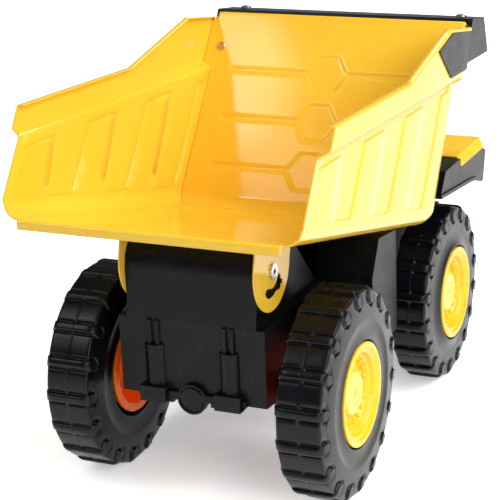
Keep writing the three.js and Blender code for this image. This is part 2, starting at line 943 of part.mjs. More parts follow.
function hingeEar() {
  const top = pivotToFloor - gap;
  const bowl = arcPoints([earMiddle, earCentreUp], earRadius, -Math.PI, 0, coarseSteps);
  const outline = [...bowl, [earMiddle + earRadius, top], [earMiddle - earRadius, top]];
  const outerX = earInnerX + sheet;
  const plate = prism(outline, earBasis, earInnerX, outerX);
  const fold = prism(
    [
      [earMiddle - earRadius, top - sheet],
      [earMiddle + earRadius, top - sheet],
      [earMiddle + earRadius, top],
      [earMiddle - earRadius, top],
    ],
    earBasis,
    earInnerX,
    outerX + earFlange,
  );
  const hole = barX(hingeHole, 0, rearBoxX, pivot.y, pivot.z);
  return joined([plate, fold]).subtract(hole).subtract(stopSlot(0, rearBoxX));
}

// A hollow rivet with a broad head, standing in a boss of the chassis tower
function hingeRivet() {
  const shankRadius = hingeHole - running;
  const headX = earInnerX + sheet + gap;
  const profile = [
    [towerX - moldWall, hingeBore],
    [towerX - moldWall, shankRadius],
    [headX, shankRadius],
    [headX, hingeHeadRadius],
    [headX + hingeHeadThickness, hingeHeadRadius],
    [headX + hingeHeadThickness, hingeBore],
  ];
  return turned(profile, pivot.y, pivot.z, coarseSteps);
}

// Chassis

function towerOutline() {
  const arc = arcPoints(pairOf(pivot), towerArcRadius, 0, Math.PI / 2 + floorTilt, coarseSteps / 2);
  return [
    [rearBoxFrontY, rearBoxTop - overrun],
    [rearFaceY, rearBoxTop - overrun],
    [rearFaceY, rearBoxTop],
    [rearFaceY - towerLean, towerWaistZ],
    ...arc,
    [towerFrontY, towerFrontTop],
    [rearBoxFrontY + overrun, rearBoxTop],
  ];
}

function rearBoxOutline() {
  return [
    [rearBoxFrontY, rearBoxLow],
    [rearSet.axleY - 2 * axleBlockHalf, rearBoxLow],
    [rearSet.axleY - axleBlockHalf, axleBlockLow],
    [rearSet.axleY + axleBlockHalf, axleBlockLow],
    [rearSet.axleY + 2 * axleBlockHalf, rearBoxLow - sheet],
    [rearFaceY, rearBoxLow],
    [rearFaceY, rearBoxTop],
    [rearBoxFrontY, rearBoxTop],
  ];
}

function rearBox() {
  const lower = acrossPrism(rearBoxOutline(), -rearBoxX, rearBoxX);
  const upper = acrossPrism(towerOutline(), -towerX, towerX);
  const low = axleBlockLow - overrun;
  const innerX = rearBoxX - moldWall;
  const frontInner = rearBoxFrontY + moldWall;
  const rearInner = rearFaceY - moldWall;
  const lowerRoom = box(-innerX, innerX, frontInner, rearInner, low, rearBoxTop - moldWall);
  const upperRoomX = towerX - moldWall;
  const upperRoom = acrossPrism(
    [
      [towerFrontY, rearBoxTop - 2 * moldWall],
      [rearInner - 2 * towerLean, rearBoxTop - 2 * moldWall],
      [rearInner - 2 * towerLean, pivot.z],
      [pivot.y, pivot.z + towerArcRadius - 2 * moldWall],
      [towerFrontY + moldWall, towerFrontTop - 2 * moldWall],
    ],
    -upperRoomX,
    upperRoomX,
  );
  return joined([lower, upper]).subtract(joined([lowerRoom, upperRoom]));
}

function strut(side) {
  const x = side * strutX;
  const depth = strutProud;
  const barrel = barZ(strutRadius, x, rearFaceY + depth - strutRadius, strutLow, strutTop, roundSteps);
  const rods = [-1, 1].map((rod) => {
    const rodX = x + (rod * strutRodSpread) / 2;
    return barZ(strutRodRadius, rodX, rearFaceY + gap, strutTop - overrun, strutRodTop);
  });
  const half = strutRadius + sheet;
  const foot = box(x - half, x + half, rearFaceY - sheet, rearFaceY + strutFootProud, apronLow, strutLow);
  const behind = box(-rearBoxX, rearBoxX, 0, rearFaceY - moldWall / 2, 0, farReach);
  return joined([barrel, ...rods, foot]).subtract(behind);
}

function differential() {
  const front = rearFaceY - moldWall / 2;
  const disc = barY(diffRadius, 0, front, rearFaceY + diffProud, diffZ, roundSteps);
  const grooveFloor = rearFaceY + diffProud - diffGroove;
  const ringOuter = barY(diffRadius - diffGroove, 0, grooveFloor, farReach, diffZ);
  const ringInner = barY(diffRadius - 2 * diffGroove, 0, front, farReach, diffZ);
  return disc.subtract(ringOuter.subtract(ringInner));
}

// The low shelf on the rear face that carries the struts
function apron() {
  const outline = [
    [-apronHalfX, apronTop - moldWall],
    [-apronHalfX, apronLow + moldWall],
    [-apronHalfX + moldWall, apronLow],
    [apronHalfX - moldWall, apronLow],
    [apronHalfX, apronLow + moldWall],
    [apronHalfX, apronTop - moldWall],
  ].map(([x, z]) => [z, x]);
  const plate = prism(outline, endBasis, rearFaceY - moldWall, rearFaceY + apronProud);
  const notch = box(-diffRadius - moldWall, diffRadius + moldWall, 0, farReach, 0, rearBoxLow - gap);
  return plate.subtract(notch);
}

// A long hollow box, open below
function openBox(halfX, fromY, toY, low, high) {
  const room = box(-halfX + moldWall, halfX - moldWall, fromY + moldWall, toY - moldWall, 0, high - moldWall);
  return box(-halfX, halfX, fromY, toY, low, high).subtract(room);
}

function axleBosses(set, faceX) {
  const inner = faceX - moldWall / 2;
  const boss = barX(bossRadius, inner, bossEndX, set.axleY, axleHeight(set), roundSteps);
  return joined([boss, mirrored(boss)]);
}

function axleHole(set) {
  return barX(rodRadius + gap, -farReach, farReach, set.axleY, axleHeight(set), roundSteps);
}

// The pad that the lowered bed rests on
function bedRest() {
  const under = (y) => floorUnder(y) - gap;
  return acrossPrism(
    [
      [restFrontY, spineTop - moldWall],
      [restRearY, spineTop - moldWall],
      [restRearY, under(restRearY)],
      [restFrontY, under(restFrontY)],
    ],
    -restHalfX,
    restHalfX,
  );
}

function stopPin(side) {
  const [y, z] = rotatedAbout(slotStart, slotFromPivot);
  const from = towerX - moldWall / 2;
  const to = towerX + stopPinProud;
  return side > 0 ? barX(stopPinRadius, from, to, y, z) : barX(stopPinRadius, -to, -from, y, z);
}

function chassis() {
  const spine = openBox(spineX, noseRearY - moldWall, rearBoxFrontY + moldWall, spineLow, spineTop);
  const nose = openBox(noseX, noseFrontY, noseRearY, noseLow, noseTop);
  const bosses = [axleBosses(rearSet, rearBoxX), axleBosses(frontSet, noseX)];
  const solids = [
    rearBox(),
    spine,
    nose,
    bedRest(),
    apron(),
    strut(1),
    strut(-1),
    differential(),
    stopPin(1),
    stopPin(-1),
    ...bosses,
  ];
  const rivetHole = barX(hingeHole - running + gap, -farReach, farReach, pivot.y, pivot.z, roundSteps);
  const holes = [axleHole(rearSet), axleHole(frontSet), rivetHole, ...screwRooms()];
  return joined(solids).subtract(joined(holes));
}

// Boxes between the wheels

function sideBox(side) {
  const outline = [
    [boxFrontY, boxLow],
    [boxRearY, boxLow],
    [boxRearY, boxRearTop],
    [boxTopRearY, boxTop],
    [boxFrontY, floorUnder(boxFrontY) - overrun],
  ];
  const outer = acrossPrism(outline, boxInnerX, boxOuterX);
  const room = box(
    boxInnerX + moldWall,
    boxOuterX - moldWall,
    boxFrontY + moldWall,
    boxRearY - moldWall,
    0,
    boxRearTop - moldWall,
  );
  const bracket = box(spineX + gap, boxInnerX + moldWall, boxFrontY + moldWall, boxRearY, spineLow, spineTop);
  const solid = joined([outer, bracket]).subtract(room);
  return side > 0 ? solid : mirrored(solid);
}

// Front body: the black moulding that carries both fenders

function fenderOutline() {
  return [
    pairOf(fenderFrontTop),
    [fenderStepY, fenderFrontTop.z + lipHeight],
    [fenderStepY, fenderTop],
    pairOf(fenderRearTop),
    pairOf(fenderRearLow),
    pairOf(fenderArch),
    pairOf(fenderArchFront),
    pairOf(fenderNotch),
    pairOf(fenderFrontLow),
  ].reverse();
}

function frontBody() {
  const outer = acrossPrism(fenderOutline(), -fenderX, fenderX);
  const innerX = fenderX - fenderSkin;
  const roomTop = fenderTop - fenderSkin;
  const room = acrossPrism(
    [
      [fenderFrontTop.y + 2 * fenderSkin, 0],
      [fenderRearLow.y, 0],
      [fenderRearLow.y, fenderRearLow.z],
      [fenderRearTop.y - fenderSkin, roomTop],
      [fenderStepY + fenderSkin, roomTop],
      [fenderFrontTop.y + 2 * fenderSkin, fenderFrontTop.z - fenderSkin],
    ],
    -innerX,
    innerX,
  );
  const rim = acrossPrism(archLip(), innerX, fenderX + lipProud);
  const base = box(-noseX, noseX, noseFrontY, noseRearY - fenderSkin, noseTop + gap, fenderFrontLow.z);
  const baseRoom = box(
    -noseX + moldWall,
    noseX - moldWall,
    noseFrontY + moldWall,
    noseRearY - fenderSkin - moldWall,
    noseTop + gap + moldWall,
    farReach,
  );
  const skirtFront = acrossPrism(skirtOutline(), -noseX, noseX);
  const shell = outer.subtract(room);
  const lamps = joined([lampSocket(1), lampSocket(-1)]);
  const walls = joined([base.subtract(baseRoom), skirtFront.subtract(baseRoom)]).subtract(bedSweep());
  const solid = joined([shell, walls, rim, mirrored(rim)]);
  const cuts = joined([lamps, grilleRoom(), deckSeat(), mirrored(deckSeat())]);
  return solid.subtract(cuts);
}

function skirtOutline() {
  return [
    [noseFrontY, noseTop + gap],
    [noseRearY - fenderSkin, noseTop + gap],
    [noseRearY - fenderSkin, floorUnder(noseRearY) - overrun],
    [fenderRearLow.y - overrun, fenderRearLow.z - overrun],
    [fenderRearTop.y - overrun, fenderTop - sheet],
    [noseFrontY, fenderFrontTop.z],
  ];
}

// The space that the lowered bed needs
function bedSweep() {
  const clear = 2 * overrun;
  return acrossPrism(
    [
      [frontLow.y - clear, frontLow.z - clear],
      [farReach, frontLow.z - clear],
      [farReach, frontTop.z],
      [frontEdgeY(frontTop.z) - clear, frontTop.z],
    ],
    -upperX,
    upperX,
  );
}

function archLip() {
  const lower = [fenderArchFront, fenderArch, fenderRearLow].map(pairOf);
  const upper = lower.map(([y, z]) => [y, z + lipHeight]).reverse();
  return [...lower, ...upper];
}

function lampSocket(side) {
  const x = side * lampX;
  const half = lampHalfWidth + gap;
  return box(
    x - half,
    x + half,
    -farReach,
    fenderFrontTop.y + 2 * fenderSkin - sheet,
    lampZ - lampHalfHeight - gap,
    lampZ + lampHalfHeight + gap,
  );
}

function headlight(side) {
  const x = side * lampX;
  const front = fenderFrontTop.y - lampProud;
  return box(
    x - lampHalfWidth,
    x + lampHalfWidth,
    front,
    fenderFrontTop.y + 2 * fenderSkin - sheet - gap,
    lampZ - lampHalfHeight,
    lampZ + lampHalfHeight,
  );
}

// Deck plates

function deckPlate(side) {
  const low = fenderTop + gap;
  const section = [
    [deckInnerX, low],
    [deckX - sheet, low],
    [deckSkirtX - sheet, deckSkirtLow],
    [deckSkirtX, deckSkirtLow],
    [deckX, deckTop],
    [deckInnerX, deckTop],
  ].map(([x, z]) => [z, x]);
  const plate = prism(section.reverse(), endBasis, deckFrontY, deckRearY);
  const nose = box(deckInnerX, deckX, deckFrontY - sheet, deckFrontY + overrun, low, deckTop);
  const solid = joined([plate, nose]);
  return side > 0 ? solid : mirrored(solid);
}

// The bevel on the front body under a deck plate's skirt
function deckSeat() {
  const bevel = [
    [deckSkirtX - sheet - gap, deckSkirtLow - gap],
    [deckSkirtX + overrun, deckSkirtLow - gap],
    [deckSkirtX + overrun, fenderTop + overrun],
    [deckX - sheet - gap, fenderTop],
  ].map(([x, z]) => [z, x]);
  return prism(bevel.reverse(), endBasis, -farReach, deckRearY + gap);
}

// Hood over the engine, on the truck's right

function hood() {
  const low = fenderTop + gap;
  const outline = [
    [hoodFrontY + hoodSlope, low],
    [hoodRearY, low],
    [hoodRearY - hoodSlope, hoodTop],
    [hoodFrontY + 2 * hoodSlope, hoodTop],
  ];
  const outer = acrossPrism(outline, hoodOuterX, hoodInnerX);
  const room = box(
    hoodOuterX + cabSkin,
    hoodInnerX - cabSkin,
    hoodFrontY + 2 * hoodSlope + cabSkin,
    hoodRearY - hoodSlope - cabSkin,
    0,
    hoodTop - cabSkin,
  );
  return outer.subtract(room);
}

// Cab, on the truck's left under the canopy

function cabOutline() {
  return [
    [cabFrontY, fenderTop + gap],
    [cabRearLowY, fenderTop + gap],
    [cabRearTopY, cabTop],
    [cabFrontTopY, cabTop],
    [cabFrontY, windowLow],
  ];
}

function cabBody() {
  const outer = acrossPrism(cabOutline(), cabInnerX, cabOuterX);
  const room = box(
    cabInnerX + cabSkin,
    cabOuterX - cabSkin,
    cabFrontTopY - cabSkin,
    cabRearTopY - cabSkin - cabSkin,
    0,
    cabTop - cabSkin,
  );
  return outer.subtract(room).subtract(windowOpenings(0));
}

// Window openings through the front and both sides of the cab
function windowOpenings(shrink) {
  const low = windowLow + shrink;
  const high = windowTop - shrink;
  const front = box(
    cabInnerX + pillar + shrink,
    cabOuterX - pillar - shrink,
    cabFrontY - overrun,
    cabFrontTopY + pillar - overrun,
    low,
    high,
  );
  const sides = box(
    cabInnerX - overrun,
    cabOuterX + overrun,
    cabFrontTopY + pillar + shrink,
    cabRearTopY - 2 * pillar - shrink,
    low,
    high,
  );
  return joined([front, sides]);
}

// One dark moulding that fills all the window openings from inside
function cabWindows() {
  const inset = gap + sheet / 2;
  const outer = acrossPrism(cabOutline(), cabInnerX + inset, cabOuterX - inset);
  const block = box(
    cabInnerX + cabSkin + gap,
    cabOuterX - cabSkin - gap,
    cabFrontTopY + gap - cabSkin,
    cabRearTopY - 2 * cabSkin - gap,
    windowLow - pillar / 2,
    windowTop + pillar / 2,
  );
  const room = box(
    cabInnerX + 2 * cabSkin,
    cabOuterX - 2 * cabSkin,
    cabFrontTopY,
    cabRearTopY - 3 * cabSkin,
    0,
    windowTop + pillar / 2 - cabSkin,
  );
  const panes = outer.intersect(windowOpenings(gap));
  const frontTrim = box(cabInnerX, cabOuterX, cabFrontY - overrun, cabFrontY + 2 * sheet, 0, farReach);
  return joined([block, panes.subtract(frontTrim)]).subtract(room);
}

// Grille, bumper and steps at the nose

function grilleRoom() {
  const clear = gap;
  return box(
    -grilleHalfX - clear,
    grilleHalfX + clear,
    -farReach,
    noseFrontY + grilleDepth / 4 + clear,
    grilleLow - clear,
    grilleTop + clear,
  );
}

function grille() {
  const back = noseFrontY + grilleDepth / 4;
  const front = back - grilleDepth;
  const plate = box(-grilleHalfX, grilleHalfX, front, back, grilleLow, grilleTop);
  const pitch = (grilleTop - grilleLow) / (grilleBars + 1);
  const slots = [];
  for (let i = 0; i < grilleBars; i += 1) {
    const z = grilleLow + pitch * (i + 1);
    const half = pitch / 4;
    const endX = grilleHalfX - pitch;
    slots.push(box(-endX, endX, front - overrun, front + grilleDepth / 2, z - half, z + half));
  }
  return plate.subtract(joined(slots));
}

function bumper() {
  const back = noseFrontY - gap;
  const bar = box(-bumperHalfX, bumperHalfX, bumperFrontY + stairDepth / 2, back, bumperLow, bumperTop);
  const ends = [-1, 1].map((side) => {
    const x = side * stairX;
    const half = stairWidth / 2;
    return box(x - half, x + half, bumperFrontY, back, bumperLow, bumperTop);
  });
  const treads = [];
  const rise = (bumperTop - bumperLow) / stairCount;
  for (let i = 0; i < stairCount; i += 1) {
    const low = bumperLow + rise * i + sheet * 2;
    [-1, 1].forEach((side) => {
      const x = side * stairX;
      const half = stairWidth / 2 - moldWall;
      const high = low + rise - 2 * sheet - moldWall;
      treads.push(box(x - half, x + half, bumperFrontY - overrun, bumperFrontY + stairDepth, low, high));
    });
  }
  return joined([bar, ...ends]).subtract(joined(treads));
}

// Screws that hold the front body and the side boxes

const screwPlaces = [
  { name: 'screw_nose_front_left', x: screwX, y: screwFrontY },
  { name: 'screw_nose_front_right', x: -screwX, y: screwFrontY },
  { name: 'screw_nose_rear_left', x: screwX, y: screwRearY },
  { name: 'screw_nose_rear_right', x: -screwX, y: screwRearY },
];

function screwRooms() {
  const low = noseTop - 2 * moldWall;
  return screwPlaces.map(({ x, y }) => barZ(screwRadius + gap, x, y, low, noseTop + overrun));
}

function screw({ x, y }) {
  const head = barZ(screwHead, x, y, noseTop - moldWall - gap - sheet, noseTop - moldWall - gap);
  const shank = barZ(screwRadius, x, y, noseTop - moldWall - gap - sheet, noseTop + screwLength - moldWall);
  return joined([head, shank]);
}

function screwBosses() {
  const top = noseTop + screwLength + moldWall;
  return screwPlaces.map(({ x, y }) => {
    const boss = barZ(screwHead + moldWall / 2, x, y, noseTop + gap, top);
    const bore = barZ(screwRadius + gap, x, y, 0, noseTop + screwLength - moldWall + gap);
    return { boss, bore };
  });
}

// Wheels, each made for the truck's left side

function axleHeight(set) {
  return set.treadRadius + lugHeight;
}

function rimInnerX(set) {
  return set.treadInnerX - rimInset;
}

function turnedOnAxle(profile, set, steps) {
  return turned(profile, set.axleY, axleHeight(set), steps);
}

function tyreRing(set) {
  const outerFace = set.rimOuterX - flangeThickness - gap;
  const innerFace = rimInnerX(set) + flangeThickness + gap;
  const bore = barrelRadius + gap;
  const middle = (set.treadRadius + beadRadius) / 2;
  const shoulder = set.treadRadius - shoulderDrop;
  const profile = [
    [innerFace, bore],
    [innerFace, beadRadius],
    [set.treadInnerX - sidewallBulge, middle],
    [set.treadInnerX, set.treadRadius],
    [set.treadOuterX, set.treadRadius],
    [set.treadOuterX + sidewallBulge / 3, shoulder],
    [set.treadOuterX + sidewallBulge, middle],
    [outerFace, beadRadius],
    [outerFace, bore],
  ];
  return turnedOnAxle(profile, set, fineSteps);
}

// The hollow inside a blown tyre, which opens onto the hub's barrel
function tyreCavity(set) {
  const bead = flangeThickness + gap + tyreBead;
  const middle = (set.treadRadius + beadRadius) / 2;
  const profile = [
    [rimInnerX(set) + bead, barrelRadius - overrun],
    [rimInnerX(set) + bead, beadRadius],
    [set.treadInnerX - sidewallBulge + tyreWall, middle],
    [set.treadInnerX + tyreWall, set.treadRadius - tyreWall],
    [set.treadOuterX - tyreWall, set.treadRadius - tyreWall],
    [set.treadOuterX + sidewallBulge - tyreWall, middle],
    [set.rimOuterX - bead, beadRadius],
    [set.rimOuterX - bead, barrelRadius - overrun],
  ];
  return turnedOnAxle(profile, set, fineSteps / 3);
}

// All the lugs of one tyre, as bars across the tread with a knob at each end
function lugs(set, turn) {
  const half = lugWidth / 2;
  const high = axleHeight(set);
  const low = high - lugReach;
  const outline = [
    [-half, high],
    [-half, low + half / 2],
    [-half / 2, low],
    [half / 2, low],
    [half, low + half / 2],
    [half, high],
  ];
  const solids = [];
  for (let i = 0; i < lugCount; i += 1) {
    const angle = Math.PI + turn + (2 * Math.PI * i) / lugCount;
    const lugBasis = new THREE.Matrix4().makeTranslation(0, set.axleY, high);
    lugBasis.multiply(new THREE.Matrix4().makeRotationX(angle));
    lugBasis.multiply(sideBasis);
    solids.push(prism(outline, lugBasis, set.treadInnerX - knobProud, set.treadOuterX + knobProud));
  }
  return joined(solids);
}

function tyre(set, turnDegrees) {
  const bars = lugs(set, THREE.MathUtils.degToRad(turnDegrees));
  return tyreRing(set).add(bars).subtract(tyreCavity(set));
}

function dishFloorX(set) {
  return set.rimOuterX - dishDepth;
}

function hub(set) {
  const dishWall = barrelRadius - barrelWall;
  const floorX = dishFloorX(set);
  const innerX = rimInnerX(set);
  const bore = rodRadius + running;
  const bearingOut = floorX - barrelWall / 2;
  const profile = [
    [bossEndX + gap, bore],
    [bossEndX + gap, bearingRadius],
    [floorX - barrelWall, bearingRadius],
    [floorX - barrelWall, dishWall],
    [innerX, dishWall],
    [innerX, rimInnerRadius],
    [innerX + flangeThickness, rimInnerRadius],
    [innerX + flangeThickness, barrelRadius],
    [set.rimOuterX - flangeThickness, barrelRadius],
    [set.rimOuterX - flangeThickness, rimRadius],
    [set.rimOuterX, rimRadius],
    [set.rimOuterX, rimRadius - rimLip],
    [set.rimOuterX - dishStepDepth, dishStepRadius],
    [floorX, dishStepRadius - dishStepDepth],
    [floorX, bearingRadius],
    [bearingOut, bearingRadius],
    [bearingOut, bore],
  ];
  return turnedOnAxle(profile, set, roundSteps);
}

function hubCap(set) {
  const face = set.rimOuterX - hubCapProud;
  const seat = dishFloorX(set) + gap;
  const profile = [
    [face, 0],
    [face, hubCapRadius - hubCapWall],
    [face - hubCapWall / 2, hubCapRadius],
    [seat, hubCapRadius],
    [seat, hubCapRadius - hubCapWall],
    [face - hubCapWall, hubCapRadius - hubCapWall],
    [face - hubCapWall, 0],
  ];
  return turnedOnAxle(profile, set, roundSteps);
}

function pushNut(set) {
  const seat = dishFloorX(set) - barrelWall / 2 + gap;
  const profile = [
    [seat, rodRadius + gap],
    [seat, washerRadius],
    [seat + washerThickness, washerRadius],
    [seat + washerThickness, rodRadius + gap],
  ];
  return turnedOnAxle(profile, set, coarseSteps);
}

function axleRod(set) {
  const end = dishFloorX(set) + washerThickness;
  return barX(rodRadius, -end, end, set.axleY, axleHeight(set), roundSteps);
}

function wheel(name, set, side) {
  const toSide = (solid) => (side > 0 ? solid : mirrored(solid));
  place(`tyre_${name}`, toSide(tyre(set, lugTurns[name])), tyrePlastic);
  place(`hub_${name}`, toSide(hub(set)), yellowPlastic);
  place(`hub_cap_${name}`, toSide(hubCap(set)), yellowPlastic);
  place(`push_nut_${name}`, toSide(pushNut(set)), brightSteel);
}

// Assembly

function assembleBed() {
  place('bed_shell', bedShell(), yellowSteel);
  place('bed_front_panel', frontPanel(), yellowSteel);
  place('canopy', canopy(), blackPlastic);
  place('hinge_ear_left', hingeEar(), yellowSteel);
  place('hinge_ear_right', mirrored(hingeEar()), yellowSteel);
  place('side_plate_left', sidePlate(1), blackPlastic);
  place('side_plate_right', sidePlate(-1), blackPlastic);
  place('panel_rivet_left', panelRivet(1), brightSteel);
  place('panel_rivet_right', panelRivet(-1), brightSteel);
  place('canopy_rivet_left', domeRivet(1), brightSteel);
  place('canopy_rivet_right', domeRivet(-1), brightSteel);
}

function assembleChassis() {
  place('chassis', chassis(), blackPlastic);
  place('hinge_rivet_left', hingeRivet(), brightSteel);
  place('hinge_rivet_right', mirrored(hingeRivet()), brightSteel);
  place('side_box_left', sideBox(1), blackPlastic);
  place('side_box_right', sideBox(-1), blackPlastic);
  const bosses = screwBosses();
  const body = joined([frontBody(), ...bosses.map(({ boss }) => boss)]);
  place('front_body', body.subtract(joined(bosses.map(({ bore }) => bore))), blackPlastic);
  place('deck_left', deckPlate(1), yellowPlastic);
  place('deck_right', deckPlate(-1), yellowPlastic);
  place('hood', hood(), yellowPlastic);
  place('cab', cabBody(), yellowPlastic);
  place('cab_windows', cabWindows(), darkGlass);
  place('grille', grille(), blackPlastic);
  place('bumper', bumper(), blackPlastic);
  place('headlight_left', headlight(1), clearLamp);
  place('headlight_right', headlight(-1), clearLamp);
  screwPlaces.forEach((spot) => place(spot.name, screw(spot), brightSteel));
  place('axle_rear', axleRod(rearSet), brightSteel);
  place('axle_front', axleRod(frontSet), brightSteel);
}

function assembleWheels() {
  wheel('rear_left', rearSet, 1);
  wheel('rear_right', rearSet, -1);
  wheel('front_left', frontSet, 1);
  wheel('front_right', frontSet, -1);
}

assembleBed();
assembleChassis();
assembleWheels();

export default truck;
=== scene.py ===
# Looks of the toy dump truck: materials, pressed and moulded detail, studio.
# Lengths are written in millimetres and turned into metres when a mesh is made.
# Front of the truck at -Y, its left side at +X, up is +Z.
import math

import bmesh
import bpy
import numpy as np
from mathutils import Matrix, Vector
from mathutils.geometry import tessellate_polygon


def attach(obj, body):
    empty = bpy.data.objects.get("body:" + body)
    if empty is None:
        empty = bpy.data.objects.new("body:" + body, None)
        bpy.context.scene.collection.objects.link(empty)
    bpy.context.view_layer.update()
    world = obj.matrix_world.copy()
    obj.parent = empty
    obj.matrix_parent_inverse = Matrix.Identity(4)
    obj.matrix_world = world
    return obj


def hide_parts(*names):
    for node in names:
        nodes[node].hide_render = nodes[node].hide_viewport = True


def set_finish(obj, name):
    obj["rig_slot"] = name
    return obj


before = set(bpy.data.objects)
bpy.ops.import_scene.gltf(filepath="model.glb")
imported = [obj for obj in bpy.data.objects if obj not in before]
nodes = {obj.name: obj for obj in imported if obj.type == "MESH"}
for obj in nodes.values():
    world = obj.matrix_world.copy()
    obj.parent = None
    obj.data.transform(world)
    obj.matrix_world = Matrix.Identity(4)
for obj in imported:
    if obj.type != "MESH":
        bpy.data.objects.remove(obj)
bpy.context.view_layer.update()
MM = 0.001

TINY = 0.01
SHEET = 1.1  # thickness of the steel
LIFT = 2.1  # height of the tyres' bars

# The bed, as in the part's source; corners are (y, z)
TAIL_TOP = (163.4, 277.1)
TAIL_SHELF_TOP = (172.3, 261.7)
TAIL_SHELF = (176.7, 258.8)
TAIL_LOW = (201, 224)
TAIL_FLOOR_Y = 204
SIDE_DIP = (12.6, 269.7)
SIDE_PEAK = (-82.8, 288.9)
FRONT_TOP = (-136.4, 280.3)
FRONT_SHELF_Z = 243.5
FRONT_LOW = (-58.5, 151.1)
FRONT_RAKE = 0.6195
FRONT_CORNER = 20
FLOOR_RISE = 0.2502
FLOOR_Z = 159.6
WALL_X = 104.6
UPPER_X = 112.8
SHELF_RISE = 4.2
FLOOR_CORNER = 12
LIP_WIDTH = 5
HEM_WIDTH = 7
HEM_PROUD = 0.7
HEM_STEP = 0.4  # half the width of the step beside the hem
HEM_COLUMNS = 3
TAIL_REACH = 208
TAIL_FLANGE = 6.9
TAIL_BEND = 1.2
TAIL_FLANGE_X = 91.8
NARROW = 0.000132  # the bed's width shrinks by this share a millimetre towards the front
RIB_COUNT = 3
RIB_TOP_Y = 134
RIB_TOP_PITCH = 85.8
RIB_TOP_WIDTH = 46
RIB_FOOT_Y = 150
RIB_FOOT_PITCH = 75
RIB_FOOT_WIDTH = 31.5
RIB_FOOT_LIFT = 14.4
RIB_DEPTH = 0.6
BAND_HEIGHT = 6
BAND_STEP = (1, 1.7)  # where the band is half and fully pressed in, from the hem
BAND_END_SHARE = 0.55
PRESS_SLOPE = 1.2  # width of a pressed edge

# The bed's grid
SLOPE_SHARES = (0, 0.25, 0.5, 0.75, 1)
FLOOR_X = (0, 16, 32, 48, 64, 80, TAIL_FLANGE_X - 0.6, TAIL_FLANGE_X)
CORNER_STEPS = 9
WALL_STEPS = 12
UPPER_STEPS = 8
BETWEEN_STEPS = 4
RIB_STEPS = 5
END_STEPS = 3
FOLD_STEPS = 5
FRONT_STEPS = 12
UNDER_SHELF = (-BAND_HEIGHT / 2, -1.4, -0.7)
SHELF_ROWS = ((0.03, 0.12), (0.14, 0), (0.5, 0), (0.86, 0), (0.97, 0.12))  # (share outwards, pull)
BEND_LAG = 6  # the wall's columns lean back by this much below a corner of its top edge
SHELF_ROUND = 0.9
LIP_ROWS = ((-1.2, 0), (-0.35, 0.3), (0, 1.1), (0, LIP_WIDTH))  # (drop, way in)

# The bed's front wall
PANEL_LOW = (-50, 165)
PANEL_LEAN = math.radians(35.9)
PANEL_TOP = 147.8
PANEL_STEP = 1.15  # grid size
PANEL_GAP = 0.15
PANEL_SHELF = 96.6
PANEL_SHELF_RISE = 5.2
PANEL_LIP = 140.4
LIP_GAP = 0.6
PANEL_BEND = 14.8
PANEL_BEND_CENTRE = (-33.59, 167.58)
PANEL_BEND_STEPS = 10
PANEL_FOOT = ((8, 0.9), (6, 0.14), (3, 0.03))  # rows before the bend: (way back, sink)
PANEL_SHEET = 0.9
FLOOR_TOP_Z = 160.73
SIDE_FLANGE = 6
SIDE_FLANGE_LOW = 2.2
SIDE_FLANGE_GROWTH = 3
FOOT_FLANGE = 0.1
FOOT_FLANGE_GROWTH = 0.2
PRESS_DEPTH = 1.1
PRESS_WIDTH = 3
PRESS_START = 0.1
HEX_COUNT = 3
HEX_FIRST = 16.5
HEX_PITCH = 40.5
HEX_HALF_WIDTH = 17
HEX_HALF_TOP = 9
HEX_HALF_HEIGHT = 16.3
GROOVE_HALF = 3.4
GROOVE_END = 85.5
ROLL_RADIUS = 2.0
ROLL_STEPS = 7
TONGUE = 26
TONGUE_DROP = 1.6
TONGUE_FALL = math.radians(7.5)

# Hinge ears
PIVOT = np.array([123.4, 164.2])
EAR_INNER_X = 48.7
EAR_RADIUS = 29.8
EAR_MIDDLE = 1.4
EAR_CENTRE_UP = 2.2
EAR_TOP = 25.2
EAR_FLANGE = 11
EAR_HOLE = 3.8
EAR_STEPS = 48
HOLE_STEPS = 32
# The slot's edge from the pivot: from its upper tip round the room of the stop pin, down to the
# far room and back
SLOT_EDGE = [
    (-11.1, -4.9), (-8.1, -6.0), (-6.2, -8.9), (-2.4, -10.8), (1.5, -11.7), (6.7, -10.2),
    (10.6, -9.7), (12.9, -11.4), (11.9, -14.4), (7.3, -17.2), (2.8, -17.9), (-1.9, -17.6),
    (-6.2, -15.9), (-9.9, -16.4), (-13.5, -16.1), (-14.4, -13.7), (-13.5, -10.8), (-13.5, -7.5),
]
SLOT_STEPS = 4

# Wheels: place, radius of the tread, its two edges from the middle, the hub's face, the bulge
REAR = {"y": 102, "tread": 72, "inner": 70.4, "outer": 100.5, "rim": 104.4, "ridge": 3.2}
FRONT = {"y": -123.4, "tread": 67.4, "inner": 69, "outer": 95.1, "rim": 100.2, "ridge": 1.4}
WHEELS = {
    "rear_left": (REAR, 1),
    "rear_right": (REAR, -1),
    "front_left": (FRONT, 1),
    "front_right": (FRONT, -1),
}
LUG_TURNS = {"rear_right": 0, "rear_left": 10, "front_right": 4, "front_left": 0}  # degrees

# A tyre's section
BORE = 31.3
BEAD = 37.6
BEAD_SINK = 0.9
BEAD_DEEP = 7.2
BEAD_STEP = 0.5
INBOARD_RIM = 3  # how far the hub's inboard end stands in from the tread's edge
DISH_DEPTH = 1.0
DISH_STEPS = 12
DISH_POWER = 0.8
RIDGE_UP = 13.5
SHOULDER_DOWN = 2.4
SHOULDER_OUT = 0.87
SHOULDER_STEPS = 20
SHOULDER_SPACING = 0.8
SHOULDER_BEND = 1.3
SHOULDER_ROUND = ((0.45, 0.9), (-0.2, 0.15))  # (way out, way down) from the tread's edge
TREAD_SHARES = (0.22, 0.4, 0.6, 0.8, 0.93)
SEAM_PLACES = (-1.8, -1.1, -0.45, 0, 0.45, 1.1, 1.8)

